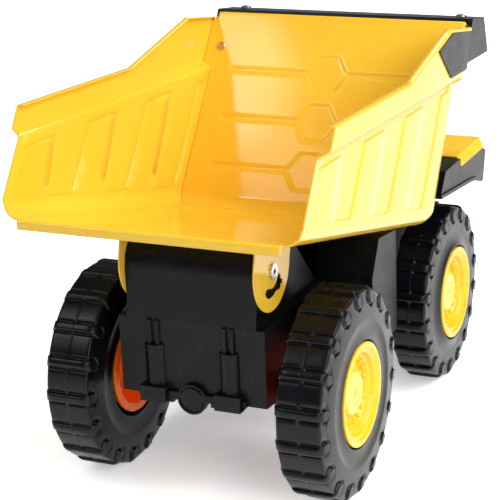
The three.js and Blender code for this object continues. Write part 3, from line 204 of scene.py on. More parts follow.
# A tyre's relief; a soft edge is (where it starts or ends, its width)
LUGS = 18
LUG_HALF = 3.2
LUG_POWER = 4
LUG_COLUMNS = (0, 1.1, 2.1, 2.7, 3.05, 3.2, 3.5, 4.1, 4.7, 5.0, 5.6)  # from a bar's middle
BLOCK_STEPS = 5
BAR_END = (0.82, 0.25)  # as a share of half the tread's width
BAR_END_LOSS = 0.75
TREAD_EDGE = (2.6, 2.4)  # from the tread down
GROOVE_DEPTH = 1.15
GROOVE_NEAR = (3.05, 0.4)  # from the bar's middle
GROOVE_FAR = (5.3, 0.8)
GROOVE_SEAM = (1.1, 0.7)  # from the seam
GROOVE_OUT = (0.96, 0.05)  # as a share of half the tread's width
SEAM_HEIGHT = 0.3
SEAM_WIDTH = 0.6
SEAM_LOSS = 0.4  # share of the seam that is lost on a bar
KNOB_HEIGHT = 1.25
KNOB_DOWN = 6.4
KNOB_EDGE = (4.0, 0.9)  # from the knob's middle
KNOB_FOOT = (13.5, 2)  # from the tread down
HOLLOW_DEPTH = 1.2
HOLLOW_NEAR = (3.6, 0.5)  # from the knob's middle
HOLLOW_FAR = (5.9, 1.1)
HOLLOW_TOP = (1.5, 2)  # from the tread down
ARC_DOWN = 9  # below this depth under the tread the relief no longer narrows

# Hubs
HUB_STEPS = 96
HUB_INBOARD_ROWS = 34  # rows of the hub's section that face inboard
HUB_DISH = 10.4
BOSSES = 20
BOSS_RING = 23.9
BOSS_SIDES = 12
CAP_SINK = 5.4
CAP_GAP = 0.3
CAP_STEPS = 64

# Camera, in pixels of the 500-pixel frame and in metres
IMAGE = 500
FOCAL = 1684.58
IMAGE_CENTRE = (236.815, 250.519)
SENSOR = 36
CAMERA_PLACE = (-0.47446, 1.08951, 0.53151)
CAMERA_RIGHT = (-0.91130192, -0.40974464, -0.04047384)
CAMERA_UP = (0.09480409, -0.30447233, 0.94779153)
CAMERA_BACK = (-0.40067566, 0.85988716, 0.31631169)

# Lights: name, place, aim, size (metres), power (watts), shape
MIDDLE = (0, 0, 0.2)
LIGHTS = (
    ("key", (-0.8, 0.2, 0.9), MIDDLE, 0.8, 7.0, "SQUARE"),
    ("high_side", (-1.5, -0.4, 1.7), MIDDLE, 1.0, 13.5, "SQUARE"),
    ("far_side", (0.9, 0.9, 1.2), MIDDLE, 0.8, 6, "SQUARE"),
    ("wall_sheen", (0.91, 0.832, 1.753), (0, -0.095, 0.225), 0.28, 1.15, "DISK"),
    ("front", (0, -1.2, 1.5), MIDDLE, 0.8, 12, "SQUARE"),
    ("camera_side", (-1.1, 1.0, 0.75), MIDDLE, 0.7, 8.5, "SQUARE"),
)
FLOOR_SIZE = 30.0
FLOOR_COLOUR = (0.9, 0.9, 0.9, 1)
FLOOR_SEEN_COLOUR = (0.5, 0.5, 0.5, 1)
FLOOR_FADE = {"From Min": 0.6, "From Max": 1.8, "To Min": 0.39, "To Max": 1.0}
SKY_COLOUR = (0.97, 0.985, 1, 1)
SKY_STRENGTH = 0.12


# Meshes

def make_piece(name, points, faces, body, replaced, slot):
    mesh = bpy.data.meshes.new(name)
    mesh.from_pydata((np.array(points, float) * MM).tolist(), [], faces)
    mesh.polygons.foreach_set("use_smooth", [True] * len(mesh.polygons))
    mesh.update()
    piece = bpy.data.objects.new(name, mesh)
    bpy.context.scene.collection.objects.link(piece)
    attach(piece, body)
    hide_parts(*replaced)
    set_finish(piece, slot)
    return piece


def grid_faces(rows, columns, first=0, closed_rows=False, closed_columns=False, flip=False):
    faces = []
    for i in range(rows if closed_rows else rows - 1):
        for j in range(columns if closed_columns else columns - 1):
            a = first + i * columns + j
            b = first + i * columns + (j + 1) % columns
            c = first + ((i + 1) % rows) * columns + (j + 1) % columns
            d = first + ((i + 1) % rows) * columns + j
            faces.append((d, c, b, a) if flip else (a, b, c, d))
    return faces


def smooth(t):
    t = np.clip(t, 0, 1)
    return t * t * (3 - 2 * t)


def climb(value, start, width):
    """0 up to start, then a soft climb to 1 over the width."""
    return smooth((value - start) / width)


def fall(value, end, width):
    """A soft fall from 1 to 0 over the width that stops at end."""
    return smooth((end - value) / width)


def solidify(piece, thickness):
    """Thickens a sheet away from the side that its faces look to."""
    modifier = piece.modifiers.new("sheet", "SOLIDIFY")
    modifier.thickness = thickness * MM
    modifier.offset = -1.0
    modifier.use_even_offset = True


def bevel(piece, width, angle, segments):
    modifier = piece.modifiers.new("edges", "BEVEL")
    modifier.width = width * MM
    modifier.segments = segments
    modifier.limit_method = "ANGLE"
    modifier.angle_limit = math.radians(angle)


# The bed pressing: one grid, from the lip of one side wall across the floor to the other lip.
# A line across the side of the bed is (slope, rise), for z = slope y + rise.

def floor_line(lift):
    return FLOOR_RISE, FLOOR_Z + lift


def front_edge(z):
    return FRONT_LOW[0] - FRONT_RAKE * (z - FRONT_LOW[1])


SHELF_SLOPE = (TAIL_SHELF[1] - FRONT_SHELF_Z) / (TAIL_SHELF[0] - front_edge(FRONT_SHELF_Z))


def shelf_line(lift):
    return SHELF_SLOPE, TAIL_SHELF[1] - SHELF_SLOPE * TAIL_SHELF[0] + lift


def rear_outline():
    floor_end = FLOOR_RISE * TAIL_FLOOR_Y + FLOOR_Z
    return [(TAIL_FLOOR_Y, 0), (TAIL_FLOOR_Y, floor_end), TAIL_LOW, TAIL_SHELF]


def front_outline():
    """Front edge of the lower wall: the raking edge, rounded into the floor."""
    y = front_edge(FLOOR_Z) / (1 + FRONT_RAKE * FLOOR_RISE)
    corner = np.array([y, FLOOR_Z + FLOOR_RISE * y])
    along = np.array([1, FLOOR_RISE]) / math.hypot(1, FLOOR_RISE)
    up = np.array([-FRONT_RAKE, 1]) / math.hypot(1, FRONT_RAKE)
    angle = math.acos(float(along @ up))
    reach = FRONT_CORNER / math.tan(angle / 2)
    middle_way = (along + up) / np.linalg.norm(along + up)
    centre = corner + middle_way * FRONT_CORNER / math.sin(angle / 2)
    start = corner + along * reach - centre
    end = corner + up * reach - centre
    turn = math.atan2(start[0] * end[1] - start[1] * end[0], float(start @ end))
    points = []
    for i in range(FRONT_STEPS + 1):
        a = turn * i / FRONT_STEPS
        points.append(centre + np.array([
            start[0] * math.cos(a) - start[1] * math.sin(a),
            start[0] * math.sin(a) + start[1] * math.cos(a),
        ]))
    top = FRONT_SHELF_Z + BAND_HEIGHT
    points.append(np.array([front_edge(top), top]))
    return points


def meet(line, outline):
    """y where a line crosses an outline that climbs; the small numbers let a corner count."""
    slope, rise = line
    side = [z - slope * y - rise for y, z in outline]
    for a, b, p, q in zip(side, side[1:], outline, outline[1:]):
        if a <= 1e-9 <= b + 2e-9 and b > a:
            share = min(max(-a / (b - a), 0), 1)
            return p[0] + (q[0] - p[0]) * share
    return outline[0][0] if side[0] > 0 else outline[-1][0]


def rib_edges(index):
    """Rear and front edges of a rib, at its foot and at its top."""
    foot = RIB_FOOT_Y - RIB_FOOT_PITCH * index
    top = RIB_TOP_Y - RIB_TOP_PITCH * index
    return (foot, foot - RIB_FOOT_WIDTH), (top, top - RIB_TOP_WIDTH)


def wall_columns(rear, front, height):
    """Columns of a row: y, share of a rib's depth and share of the band's.

    height runs from 0 at a rib's foot to 1 at its top.
    """
    hem = rear - HEM_WIDTH
    half, full = BAND_STEP
    columns = [(y, 0, 0) for y in (rear, rear - HEM_STEP, hem + HEM_STEP, hem - HEM_STEP)]
    columns += [(hem - half, 0, 0.5), (hem - full, 0, 1)]
    slopes = [(PRESS_SLOPE * share, float(smooth(share))) for share in SLOPE_SHARES]
    last = columns[-1][0]
    for index in range(RIB_COUNT):
        foot, top = rib_edges(index)
        start = foot[0] + (top[0] - foot[0]) * height
        end = foot[1] + (top[1] - foot[1]) * height
        columns += [
            (last + (start - last) * k / BETWEEN_STEPS, 0, 1) for k in range(1, BETWEEN_STEPS)
        ]
        columns += [(start - way, depth, 1) for way, depth in slopes]
        across = end - start + 2 * PRESS_SLOPE
        columns += [
            (start - PRESS_SLOPE + across * k / RIB_STEPS, 1, 1) for k in range(1, RIB_STEPS)
        ]
        columns += [(end + way, depth, 1) for way, depth in reversed(slopes)]
        last = end
    stop = last + (front - last) * BAND_END_SHARE
    columns += [((last + stop) / 2, 0, 1), (stop + PRESS_SLOPE, 0, 1)]
    columns += [(stop + PRESS_SLOPE / 2, 0, 0.5), (stop, 0, 0)]
    columns += [(stop + (front - stop) * k / END_STEPS, 0, 0) for k in range(1, END_STEPS + 1)]
    return np.array(columns).T


def lower_rows():
    """Rows of one side from the floor's middle up to the shelf, for the outer face."""
    rear, front = rear_outline(), front_outline()
    rows = []

    def add_row(line, x, height=0.0, rib=0.0, band=0.0):
        y, in_rib, in_band = wall_columns(meet(line, rear), meet(line, front), height)
        out = -RIB_DEPTH * np.maximum(rib * in_rib, band * in_band)
        if x >= WALL_X - TINY:
            out[:HEM_COLUMNS] = HEM_PROUD
        rows.append(np.stack([x + out, y, line[0] * y + line[1]], 1))

    for x in FLOOR_X:
        add_row(floor_line(0), x)
    tilt = math.hypot(1, FLOOR_RISE)
    for i in range(CORNER_STEPS + 1):
        turn = math.pi / 2 * i / CORNER_STEPS
        lift = FLOOR_CORNER * (1 - math.cos(turn)) * tilt
        add_row(floor_line(lift), WALL_X - FLOOR_CORNER * (1 - math.sin(turn)))
    add_row(floor_line((FLOOR_CORNER * tilt + RIB_FOOT_LIFT) / 2), WALL_X)
    for share in SLOPE_SHARES:
        line = floor_line(RIB_FOOT_LIFT + PRESS_SLOPE * share)
        add_row(line, WALL_X, 0.0, float(smooth(share)))
    foot = floor_line(RIB_FOOT_LIFT + PRESS_SLOPE)
    band = shelf_line(-BAND_HEIGHT - PRESS_SLOPE)
    for k in range(1, WALL_STEPS):
        height = k / WALL_STEPS
        add_row(tuple(f + (b - f) * height for f, b in zip(foot, band)), WALL_X, height, 1.0)
    for share in SLOPE_SHARES:
        line = shelf_line(-BAND_HEIGHT - PRESS_SLOPE * (1 - share))
        add_row(line, WALL_X, 1.0, 1.0, float(smooth(share)))
    for lift in UNDER_SHELF:
        add_row(shelf_line(lift), WALL_X, 1.0, 1.0, 1.0)
    return rows


def upper_rows(base):
    """Rows of the shelf and of the wall above it, on the last of the lower rows."""
    base_x, base_y = base[:, 0], base[:, 1]
    front_y = front_edge(FRONT_SHELF_Z)
    at = (base_y - base_y[0]) / (base_y[-1] - base_y[0])
    low_y = TAIL_SHELF[0] + (front_y - TAIL_SHELF[0]) * at
    top_share = (FRONT_TOP[1] - FRONT_SHELF_Z - SHELF_RISE) / (FRONT_TOP[1] - FRONT_SHELF_Z)
    shelf_front = FRONT_TOP[0] + (front_y - FRONT_TOP[0]) * top_share
    high_y = TAIL_SHELF_TOP[0] + (shelf_front - TAIL_SHELF_TOP[0]) * at
    dip, peak = (
        int(np.argmin(np.abs(low_y - corner[0] - BEND_LAG))) for corner in (SIDE_DIP, SIDE_PEAK)
    )
    keys = [at[0], at[dip], at[peak], at[-1]]
    corners = (TAIL_TOP, SIDE_DIP, SIDE_PEAK, FRONT_TOP)
    top_y = np.interp(at, keys, [y for y, z in corners])
    top_z = np.interp(at, keys, [z for y, z in corners])
    rows = []
    for share, pull in SHELF_ROWS:
        y = low_y + (high_y - low_y) * share
        slope, rise = shelf_line(SHELF_RISE * share)
        x = base_x + (UPPER_X - base_x) * share - pull
        rows.append(np.stack([x, y, slope * y + rise], 1))
    slope, rise = shelf_line(SHELF_RISE)
    shelf_z = slope * high_y + rise
    wall = [(0, SHELF_ROUND, 0)] + [(k / UPPER_STEPS, 0, 0) for k in range(1, UPPER_STEPS)]
    for share, lift, way_in in wall + [(1, *row) for row in LIP_ROWS]:
        y = high_y + (top_y - high_y) * share
        z = shelf_z + (top_z - shelf_z) * share + lift
        rows.append(np.stack([np.full_like(y, UPPER_X - way_in), y, z], 1))
    return rows


def narrowed(points):
    points = np.array(points, float)
    points[:, 0] *= 1 - NARROW * (TAIL_SHELF[0] - points[:, 1])
    return points


def build_bed():
    side = lower_rows()
    side += upper_rows(side[-1])
    columns = len(side[0])
    mirror = [row * np.array([-1, 1, 1]) for row in side]
    rows = mirror[:0:-1] + side
    points = list(np.concatenate(rows))
    faces = grid_faces(len(rows), columns)
    # The folded edge of the floor carries on from its rear columns
    middle = len(mirror) - 1
    width = len(FLOOR_X) - 1
    bend_y = TAIL_REACH - SHEET
    bend_start = bend_y - TAIL_BEND
    full_turn = math.pi / 2 + math.atan(FLOOR_RISE)
    low = FLOOR_RISE * TAIL_REACH + FLOOR_Z + SHEET - TAIL_FLANGE
    first = len(points)
    for i in range(middle - width, middle + width + 1):
        x, y, z = rows[i][0]
        top = z + FLOOR_RISE * (bend_start - y)
        points.append((x, bend_start, top))
        for k in range(1, FOLD_STEPS + 1):
            turn = full_turn * k / FOLD_STEPS
            reach, drop = TAIL_BEND * math.sin(turn), TAIL_BEND * (1 - math.cos(turn))
            points.append((x, bend_start + reach, top + reach * FLOOR_RISE / 2 - drop))
        points.append((x, bend_y, low))
    per = FOLD_STEPS + 2
    for n in range(2 * width):
        a, b = (middle - width + n) * columns, (middle - width + n + 1) * columns
        faces.append((b, first + (n + 1) * per, first + n * per, a))
        for k in range(per - 1):
            p, q = first + n * per + k, first + (n + 1) * per + k
            faces.append((q, q + 1, p + 1, p))
    # The grid is the outer face, so its faces are turned to look out
    faces = [face[::-1] for face in faces]
    points = narrowed(points)
    piece = make_piece("bed_pressing", points, faces, "bed", ["bed_shell"], "yellow_steel")
    solidify(piece, SHEET)
    bevel(piece, width=0.25, angle=60, segments=1)
    return piece


# The bed's front wall, pressed with three hexagons

def panel_half(y, z, up):
    """Half-width of the front wall at a place on it: the bed's inside, less the gap."""
    radius = FLOOR_CORNER - SHEET
    over_floor = (z - FLOOR_RISE * y - FLOOR_TOP_Z) / math.hypot(1, FLOOR_RISE)
    height = np.clip(over_floor, 0, radius)
    low = WALL_X - FLOOR_CORNER + math.sqrt(radius**2 - (radius - height) ** 2)
    step = min(max((up - PANEL_SHELF) / PANEL_SHELF_RISE, 0), 1)
    half = low + (UPPER_X - WALL_X) * step - PANEL_GAP
    return min(half, UPPER_X - LIP_WIDTH - LIP_GAP) if up > PANEL_LIP else half


def polygon_depth(x, up, corners):
    """Signed distance to a polygon, positive inside."""
    inside = np.zeros_like(x, bool)
    nearest = np.full_like(x, np.inf)
    for (ax, ay), (bx, by) in zip(corners, corners[1:] + corners[:1]):
        ex, ey = bx - ax, by - ay
        share = np.clip(((x - ax) * ex + (up - ay) * ey) / (ex * ex + ey * ey), 0, 1)
        nearest = np.minimum(nearest, np.hypot(x - ax - ex * share, up - ay - ey * share))
        if by != ay:
            crosses = (ay > up) != (by > up)
            inside ^= crosses & (x < ax + (up - ay) / (by - ay) * ex)
    return np.where(inside, nearest, -nearest)


def hexagon(middle):
    """Outline of a hexagon with the grooves beside it, which run to the wall's edges."""
    quarter = [
        (GROOVE_END, GROOVE_HALF), (HEX_HALF_WIDTH, GROOVE_HALF), (HEX_HALF_TOP, HEX_HALF_HEIGHT),
    ]
    top = quarter + [(-x, up) for x, up in reversed(quarter)]
    low = [(x, -up) for x, up in reversed(top)]
    return [(x, middle + up) for x, up in top + low]


def build_panel():
    lean_y, lean_z = math.sin(PANEL_LEAN), math.cos(PANEL_LEAN)
    columns = 2 * int(UPPER_X / PANEL_STEP) + 1
    shares = np.linspace(-1, 1, columns)
    flat = np.zeros(columns)
    lines = []

    def add_line(y, z, up, way, out, flange):
        """A row across: way is the face's own direction, flange how far its ends turn forward."""
        half = panel_half(y, z, up)
        x = np.concatenate([[-half, -half], shares * half, [half, half]])
        edge = np.array([-flange, -flange / 2])
        out = np.concatenate([edge, out, edge[::-1]])
        lines.append(np.stack([x, y + out * way[0], z + out * way[1]], 1))

    # The foot bends from the floor up into the wall
    bend_y, bend_z = PANEL_BEND_CENTRE
    start = math.atan2(-1, FLOOR_RISE)
    end = -math.pi + PANEL_LEAN
    foot_y = bend_y + PANEL_BEND * math.cos(start)
    foot_z = bend_z + PANEL_BEND * math.sin(start)
    for back, sink in PANEL_FOOT:
        add_line(foot_y + back, foot_z + back * FLOOR_RISE - sink, 0, (0, 1), flat, FOOT_FLANGE)
    for k in range(PANEL_BEND_STEPS + 1):
        turn = start + (end - start) * k / PANEL_BEND_STEPS
        y, z = bend_y + PANEL_BEND * math.cos(turn), bend_z + PANEL_BEND * math.sin(turn)
        flange = FOOT_FLANGE + FOOT_FLANGE_GROWTH * k
        add_line(y, z, 0, (-math.cos(turn), -math.sin(turn)), flat, flange)
    # The wall itself, pressed with hexagons
    first = (PANEL_LOW[0] - y) / lean_y
    count = int((PANEL_TOP - first) / PANEL_STEP)
    for up in np.linspace(first, PANEL_TOP - ROLL_RADIUS, count)[1:]:
        y, z = PANEL_LOW[0] - up * lean_y, PANEL_LOW[1] + up * lean_z
        x = shares * panel_half(y, z, up)
        depth = np.zeros(columns)
        for i in range(HEX_COUNT):
            inside = polygon_depth(x, np.full(columns, up), hexagon(HEX_FIRST + HEX_PITCH * i))
            depth = np.maximum(depth, smooth(inside / PRESS_WIDTH + PRESS_START))
        flange = min(SIDE_FLANGE, SIDE_FLANGE_LOW + (up - first) / SIDE_FLANGE_GROWTH)
        add_line(y, z, up, (lean_z, lean_y), -PRESS_DEPTH * depth, flange)
    # The top edge rolls forward into the tongue under the canopy
    centre = lines[-1] - np.array([0, ROLL_RADIUS * lean_z, ROLL_RADIUS * lean_y])
    full_turn = math.pi / 2 - PANEL_LEAN - TONGUE_FALL
    for k in range(1, ROLL_STEPS + 1):
        turn = PANEL_LEAN + full_turn * k / ROLL_STEPS
        lines.append(
            centre + np.array([0, ROLL_RADIUS * math.cos(turn), ROLL_RADIUS * math.sin(turn)])
        )
    tongue = np.array([0, -TONGUE * math.cos(TONGUE_FALL), -TONGUE * math.sin(TONGUE_FALL)])
    roll_end = lines[-1] + np.array([0, 0, -TONGUE_DROP])
    lines += [roll_end + tongue * share for share in (1 / 8, 1 / 2, 1)]
    points = narrowed(np.concatenate(lines))
    faces = grid_faces(len(lines), columns + 4, flip=True)
    piece = make_piece(
        "front_wall_pressing", points, faces, "bed", ["bed_front_panel"], "yellow_steel"
    )
    solidify(piece, PANEL_SHEET)
    return piece


# Hinge ears: a plate with a round hole and a curved slot, folded out under the floor

def closed_curve(corners):
    """A smooth closed curve through the corners."""
    points = []
    count = len(corners)
    for i in range(count):
        a, b, c, d = (np.array(corners[(i + k) % count], float) for k in (-1, 0, 1, 2))
        for k in range(SLOT_STEPS):
            t = k / SLOT_STEPS
            bend = (2 * a - 5 * b + 4 * c - d) * t**2 + (3 * b - a - 3 * c + d) * t**3
            points.append(0.5 * (2 * b + (c - a) * t + bend))
    return points


def build_ear(side_name, side):
    tilt = math.atan(FLOOR_RISE)
    along = np.array([math.cos(tilt), math.sin(tilt)])
    up = np.array([-math.sin(tilt), math.cos(tilt)])
    centre = PIVOT + EAR_MIDDLE * along + EAR_CENTRE_UP * up
    rear, front = (PIVOT + (EAR_MIDDLE + way * EAR_RADIUS) * along for way in (1, -1))
    outline = [
        centre + EAR_RADIUS * (math.cos(a) * along + math.sin(a) * up)
        for a in np.linspace(-math.pi, 0, EAR_STEPS + 1)
    ]
    outline += [rear + EAR_TOP * up, front + EAR_TOP * up]
    hole = [
        PIVOT + EAR_HOLE * np.array([math.cos(a), math.sin(a)])
        for a in np.linspace(0, 2 * math.pi, HOLE_STEPS + 1)[:-1]
    ]
    loops = [outline, hole, [PIVOT + p for p in closed_curve(SLOT_EDGE)]]
    flat = [p for loop in loops for p in loop]
    triangles = tessellate_polygon([[Vector((y, z, 0)) for y, z in loop] for loop in loops])
    points = [(side * x, y, z) for x in (EAR_INNER_X, EAR_INNER_X + SHEET) for y, z in flat]
    count = len(flat)
    faces = [tuple(t) for t in triangles] + [tuple(count + i for i in t) for t in triangles]
    caps = len(faces)
    first = 0
    for loop in loops:
        for i in range(len(loop)):
            a, b = first + i, first + (i + 1) % len(loop)
            faces.append((a, b, count + b, count + a))
        first += len(loop)
    edges_end = len(faces)
    # The fold: a flat box under the floor
    base = len(points)
    for x in (EAR_INNER_X, EAR_INNER_X + SHEET + EAR_FLANGE):
        for end in (rear, front):
            for height in (EAR_TOP - SHEET, EAR_TOP + TINY):
                y, z = end + height * up
                points.append((side * x, y, z))
    box = ((0, 1, 3, 2), (4, 6, 7, 5), (0, 4, 5, 1), (2, 3, 7, 6), (1, 5, 7, 3), (0, 2, 6, 4))
    faces += [tuple(base + i for i in face) for face in box]
    piece = make_piece(
        f"ear_plate_{side_name}", points, faces, "bed", [f"hinge_ear_{side_name}"], "yellow_steel"
    )
    shape = bmesh.new()
    shape.from_mesh(piece.data)
    bmesh.ops.recalc_face_normals(shape, faces=shape.faces)
    shape.to_mesh(piece.data)
    shape.free()
    for i, face in enumerate(piece.data.polygons):
        face.use_smooth = caps <= i < edges_end
    return piece


# Tyres: a moulded ring whose bars, grooves and knobs follow the sidewall and tread

def tyre_side(wheel, edge, face, sign):
    """Section (x, r) from the bore to the tread's edge; x grows outwards by sign."""
    deep = face - sign * BEAD_DEEP
    bead_x = face - sign * BEAD_SINK
    bead_r = BEAD + BEAD_STEP
    points = [(deep, BORE), (deep, BEAD), (bead_x - sign * BEAD_STEP, BEAD)]
    ridge = edge + sign * wheel["ridge"]
    ridge_r = BEAD + RIDGE_UP
    for k in range(DISH_STEPS + 1):
        share = k / DISH_STEPS
        dip = 0 if k in (0, DISH_STEPS) else DISH_DEPTH * math.sin(math.pi * share) ** DISH_POWER
        points.append(
            (bead_x + (ridge - bead_x) * share - sign * dip, bead_r + (ridge_r - bead_r) * share)
        )
    shoulder = wheel["tread"] - SHOULDER_DOWN
    low = edge + sign * SHOULDER_OUT
    for k in range(1, SHOULDER_STEPS + 1):
        share = (k / SHOULDER_STEPS) ** SHOULDER_SPACING
        bend = share**SHOULDER_BEND
        points.append((ridge + (low - ridge) * bend, ridge_r + (shoulder - ridge_r) * share))
    points += [(edge + sign * out, wheel["tread"] - down) for out, down in SHOULDER_ROUND]
    return points


def tyre_profile(wheel):
    """Section (x, r) from the inboard bore round the tread to the outboard bore."""
    tread, inner, outer = wheel["tread"], wheel["inner"], wheel["outer"]
    middle, half = (inner + outer) / 2, (outer - inner) / 2
    across = [-half * share for share in reversed(TREAD_SHARES)]
    across += [*SEAM_PLACES, *(half * share for share in TREAD_SHARES)]
    inboard = tyre_side(wheel, inner, inner - INBOARD_RIM, -1)
    outboard = tyre_side(wheel, outer, wheel["rim"], 1)
    return inboard + [(middle + x, tread) for x in across] + outboard[::-1]


def lug_relief(wheel, x, r, arc):
    """Height of the moulded relief at a place on the tyre; arc is the way from a bar's middle."""
    tread, inner, outer = wheel["tread"], wheel["inner"], wheel["outer"]
    from_middle = abs(x - (inner + outer) / 2)
    edge = from_middle / ((outer - inner) / 2)
    beside = np.abs(arc)
    # Bars with rounded ends, a groove on both sides of each and a moulding seam round the middle
    bar = np.sqrt(np.clip(1 - (beside / LUG_HALF) ** LUG_POWER, 0, 1))
    bar_height = LIFT * (1 - BAR_END_LOSS * climb(edge, *BAR_END))
    groove = climb(beside, *GROOVE_NEAR) * fall(beside, *GROOVE_FAR)
    groove_reach = climb(from_middle, *GROOVE_SEAM) * (1 - climb(edge, *GROOVE_OUT))
    seam = SEAM_HEIGHT * fall(from_middle, SEAM_WIDTH, SEAM_WIDTH) * (1 - SEAM_LOSS * bar)
    tread_relief = bar_height * bar - GROOVE_DEPTH * groove * groove_reach + seam
    # The knob on the sidewall, with the hollow round its foot
    distance = np.hypot(arc, min(r - (tread - KNOB_DOWN), 0))
    knob = fall(distance, *KNOB_EDGE)
    hollow = climb(distance, *HOLLOW_NEAR) * fall(distance, *HOLLOW_FAR)
    hollow = hollow * fall(r, tread - HOLLOW_TOP[0], HOLLOW_TOP[1])
    side_relief = KNOB_HEIGHT * knob - HOLLOW_DEPTH * hollow
    side_relief = side_relief * climb(r, tread - KNOB_FOOT[0], KNOB_FOOT[1])
    on_tread = climb(r, tread - TREAD_EDGE[0], TREAD_EDGE[1])
    return tread_relief * on_tread + side_relief * (1 - on_tread)


def build_tyre(name, wheel, side):
    profile = np.array(tyre_profile(wheel))
    tangent = np.roll(profile, -1, 0) - np.roll(profile, 1, 0)
    tangent[0], tangent[-1] = (0, 1), (0, -1)
    normal = np.stack([-tangent[:, 1], tangent[:, 0]], 1)
    normal /= np.linalg.norm(normal, axis=1)[:, None]
    tread = wheel["tread"]
    height = tread + LIFT
    pitch = 2 * math.pi * tread / LUGS
    last = LUG_COLUMNS[-1]
    block = pitch - 2 * last
    offsets = [-v for v in reversed(LUG_COLUMNS[1:])] + list(LUG_COLUMNS)
    offsets = np.array(offsets + [last + block * k / BLOCK_STEPS for k in range(1, BLOCK_STEPS)])
    starts = math.radians(LUG_TURNS[name]) + math.pi + 2 * math.pi * np.arange(LUGS) / LUGS
    angles = (starts[:, None] + offsets / tread).ravel()
    arcs = np.tile(np.where(offsets > pitch / 2, offsets - pitch, offsets), LUGS)
    points = []
    for (x, r), way in zip(profile, normal):
        relief = lug_relief(wheel, x, r, arcs * max(r, tread - ARC_DOWN) / tread)
        out, reach = (x + way[0] * relief) * side, r + way[1] * relief
        y, z = wheel["y"] - reach * np.sin(angles), height + reach * np.cos(angles)
        points.extend(np.stack([out, y, z], 1))
    faces = grid_faces(
        len(profile), len(angles), closed_rows=True, closed_columns=True, flip=side < 0
    )
    return make_piece(
        f"tyre_moulding_{name}", points, faces, f"wheel_{name}", [f"tyre_{name}"], "tyre_plastic"
    )


# Hubs

def revolve(profile, wheel, side, steps):
    height = wheel["tread"] + LIFT
    points = []
    for x, r in profile:
        for i in range(steps):
            a = 2 * math.pi * i / steps
            points.append((x * side, wheel["y"] - r * math.sin(a), height + r * math.cos(a)))
    faces = grid_faces(
        len(profile), steps, closed_rows=True, closed_columns=True, flip=side < 0
    )
    return points, faces


def rounded(profile, cuts):
    """Rounds the corners of a closed profile by the cut given for each point."""
    out = []
    count = len(profile)
    for i, cut in enumerate(cuts):
        p = np.array(profile[i], float)
        if cut <= 0:
            out.append(tuple(p))
            continue
        a = np.array(profile[i - 1], float) - p
        b = np.array(profile[(i + 1) % count], float) - p
        reach = min(cut, np.linalg.norm(a) * 0.45, np.linalg.norm(b) * 0.45)
        start, end = p + a / np.linalg.norm(a) * reach, p + b / np.linalg.norm(b) * reach
        for share in (0, 0.25, 0.5, 0.75, 1):
            q = (1 - share) ** 2 * start + 2 * share * (1 - share) * p + share**2 * end
            out.append(tuple(q))
    return out


def build_hub(name, wheel, side):
    rim, inner = wheel["rim"], wheel["inner"] - INBOARD_RIM
    floor = rim - HUB_DISH
    # Corners (x, r, cut), from the axle's bore along the inboard side to the dish and back
    section = [
        (67, 3.4, 0.3), (67, 8.5, 0.6), (floor - 2.4, 8.5, 0.6), (floor - 2.4, 28.6, 1.5),
        (inner, 28.6, 0.8), (inner, 34.4, 0.8), (inner + 2.2, 34.4, 0.6), (inner + 2.2, 31, 0.5),
        (rim - 2.2, 31, 0.5), (rim - 2.2, 36.4, 0.5), (rim, 36.4, 1.0), (rim, 33.2, 0.9),
        (rim - 1.6, 31.0, 0.9), (rim - 2.4, 28.6, 1.2), (rim - 5.6, 27.2, 1.0),
        (rim - 6.2, 25.4, 0.8), (floor, 23.2, 1.2), (floor, 8.5, 0.6), (floor - 1.2, 8.5, 0.4),
        (floor - 1.2, 3.4, 0.3),
    ]
    profile = rounded([corner[:2] for corner in section], [corner[2] for corner in section])
    points, faces = revolve(profile, wheel, side, HUB_STEPS)
    height = wheel["tread"] + LIFT
    # A ring of small bosses round the dish; levels are (x, radius)
    levels = [(floor - 0.8, 1.6), (rim - 8.2, 1.5), (rim - 7.4, 1.15), (rim - 7.1, 0.5)]
    for i in range(BOSSES):
        a = 2 * math.pi * (i + 0.5) / BOSSES
        y, z = wheel["y"] - BOSS_RING * math.sin(a), height + BOSS_RING * math.cos(a)
        first = len(points)
        for x, radius in levels:
            for k in range(BOSS_SIDES):
                b = 2 * math.pi * k / BOSS_SIDES
                points.append((x * side, y + radius * math.sin(b), z + radius * math.cos(b)))
        faces += grid_faces(len(levels), BOSS_SIDES, first, closed_columns=True, flip=side > 0)
        low = tuple(range(first, first + BOSS_SIDES))
        top = tuple(range(len(points) - BOSS_SIDES, len(points)))
        faces += [top, low[::-1]] if side < 0 else [top[::-1], low]
    return make_piece(
        f"hub_moulding_{name}", points, faces, f"wheel_{name}", [f"hub_{name}"], "yellow_plastic"
    )


def build_hub_cap(name, wheel, side):
    face = wheel["rim"] - CAP_SINK
    seat = wheel["rim"] - HUB_DISH + CAP_GAP
    section = [
        (seat, 13.2, 0.2), (seat, 15.4, 0.4), (face - 1.1, 15.4, 0.8), (face, 13.4, 0.9),
        (face - 0.1, 9.2, 0.5), (face - 0.7, 8.4, 0.4), (face - 0.7, 7.4, 0.4), (face, 6.6, 0.5),
        (face + 0.1, 0.05, 0), (face - 2.2, 0.05, 0), (face - 2.2, 13.2, 0.3),
    ]
    profile = rounded([corner[:2] for corner in section], [corner[2] for corner in section])
    points, faces = revolve(profile, wheel, side, CAP_STEPS)
    return make_piece(
        f"hub_disc_{name}", points, faces, f"wheel_{name}", [f"hub_cap_{name}"], "yellow_plastic"
    )


# Materials

def add_node(tree, kind, inputs=None, **settings):
    """Adds a node. inputs gives a value, or an output to link, for a socket's name or number."""
    node = tree.nodes.new(kind)
    for key, value in settings.items():
        setattr(node, key, value)
    for socket, value in (inputs or {}).items():
        if isinstance(value, bpy.types.NodeSocket):
            tree.links.new(value, node.inputs[socket])
        else:
            node.inputs[socket].default_value = value
    return node


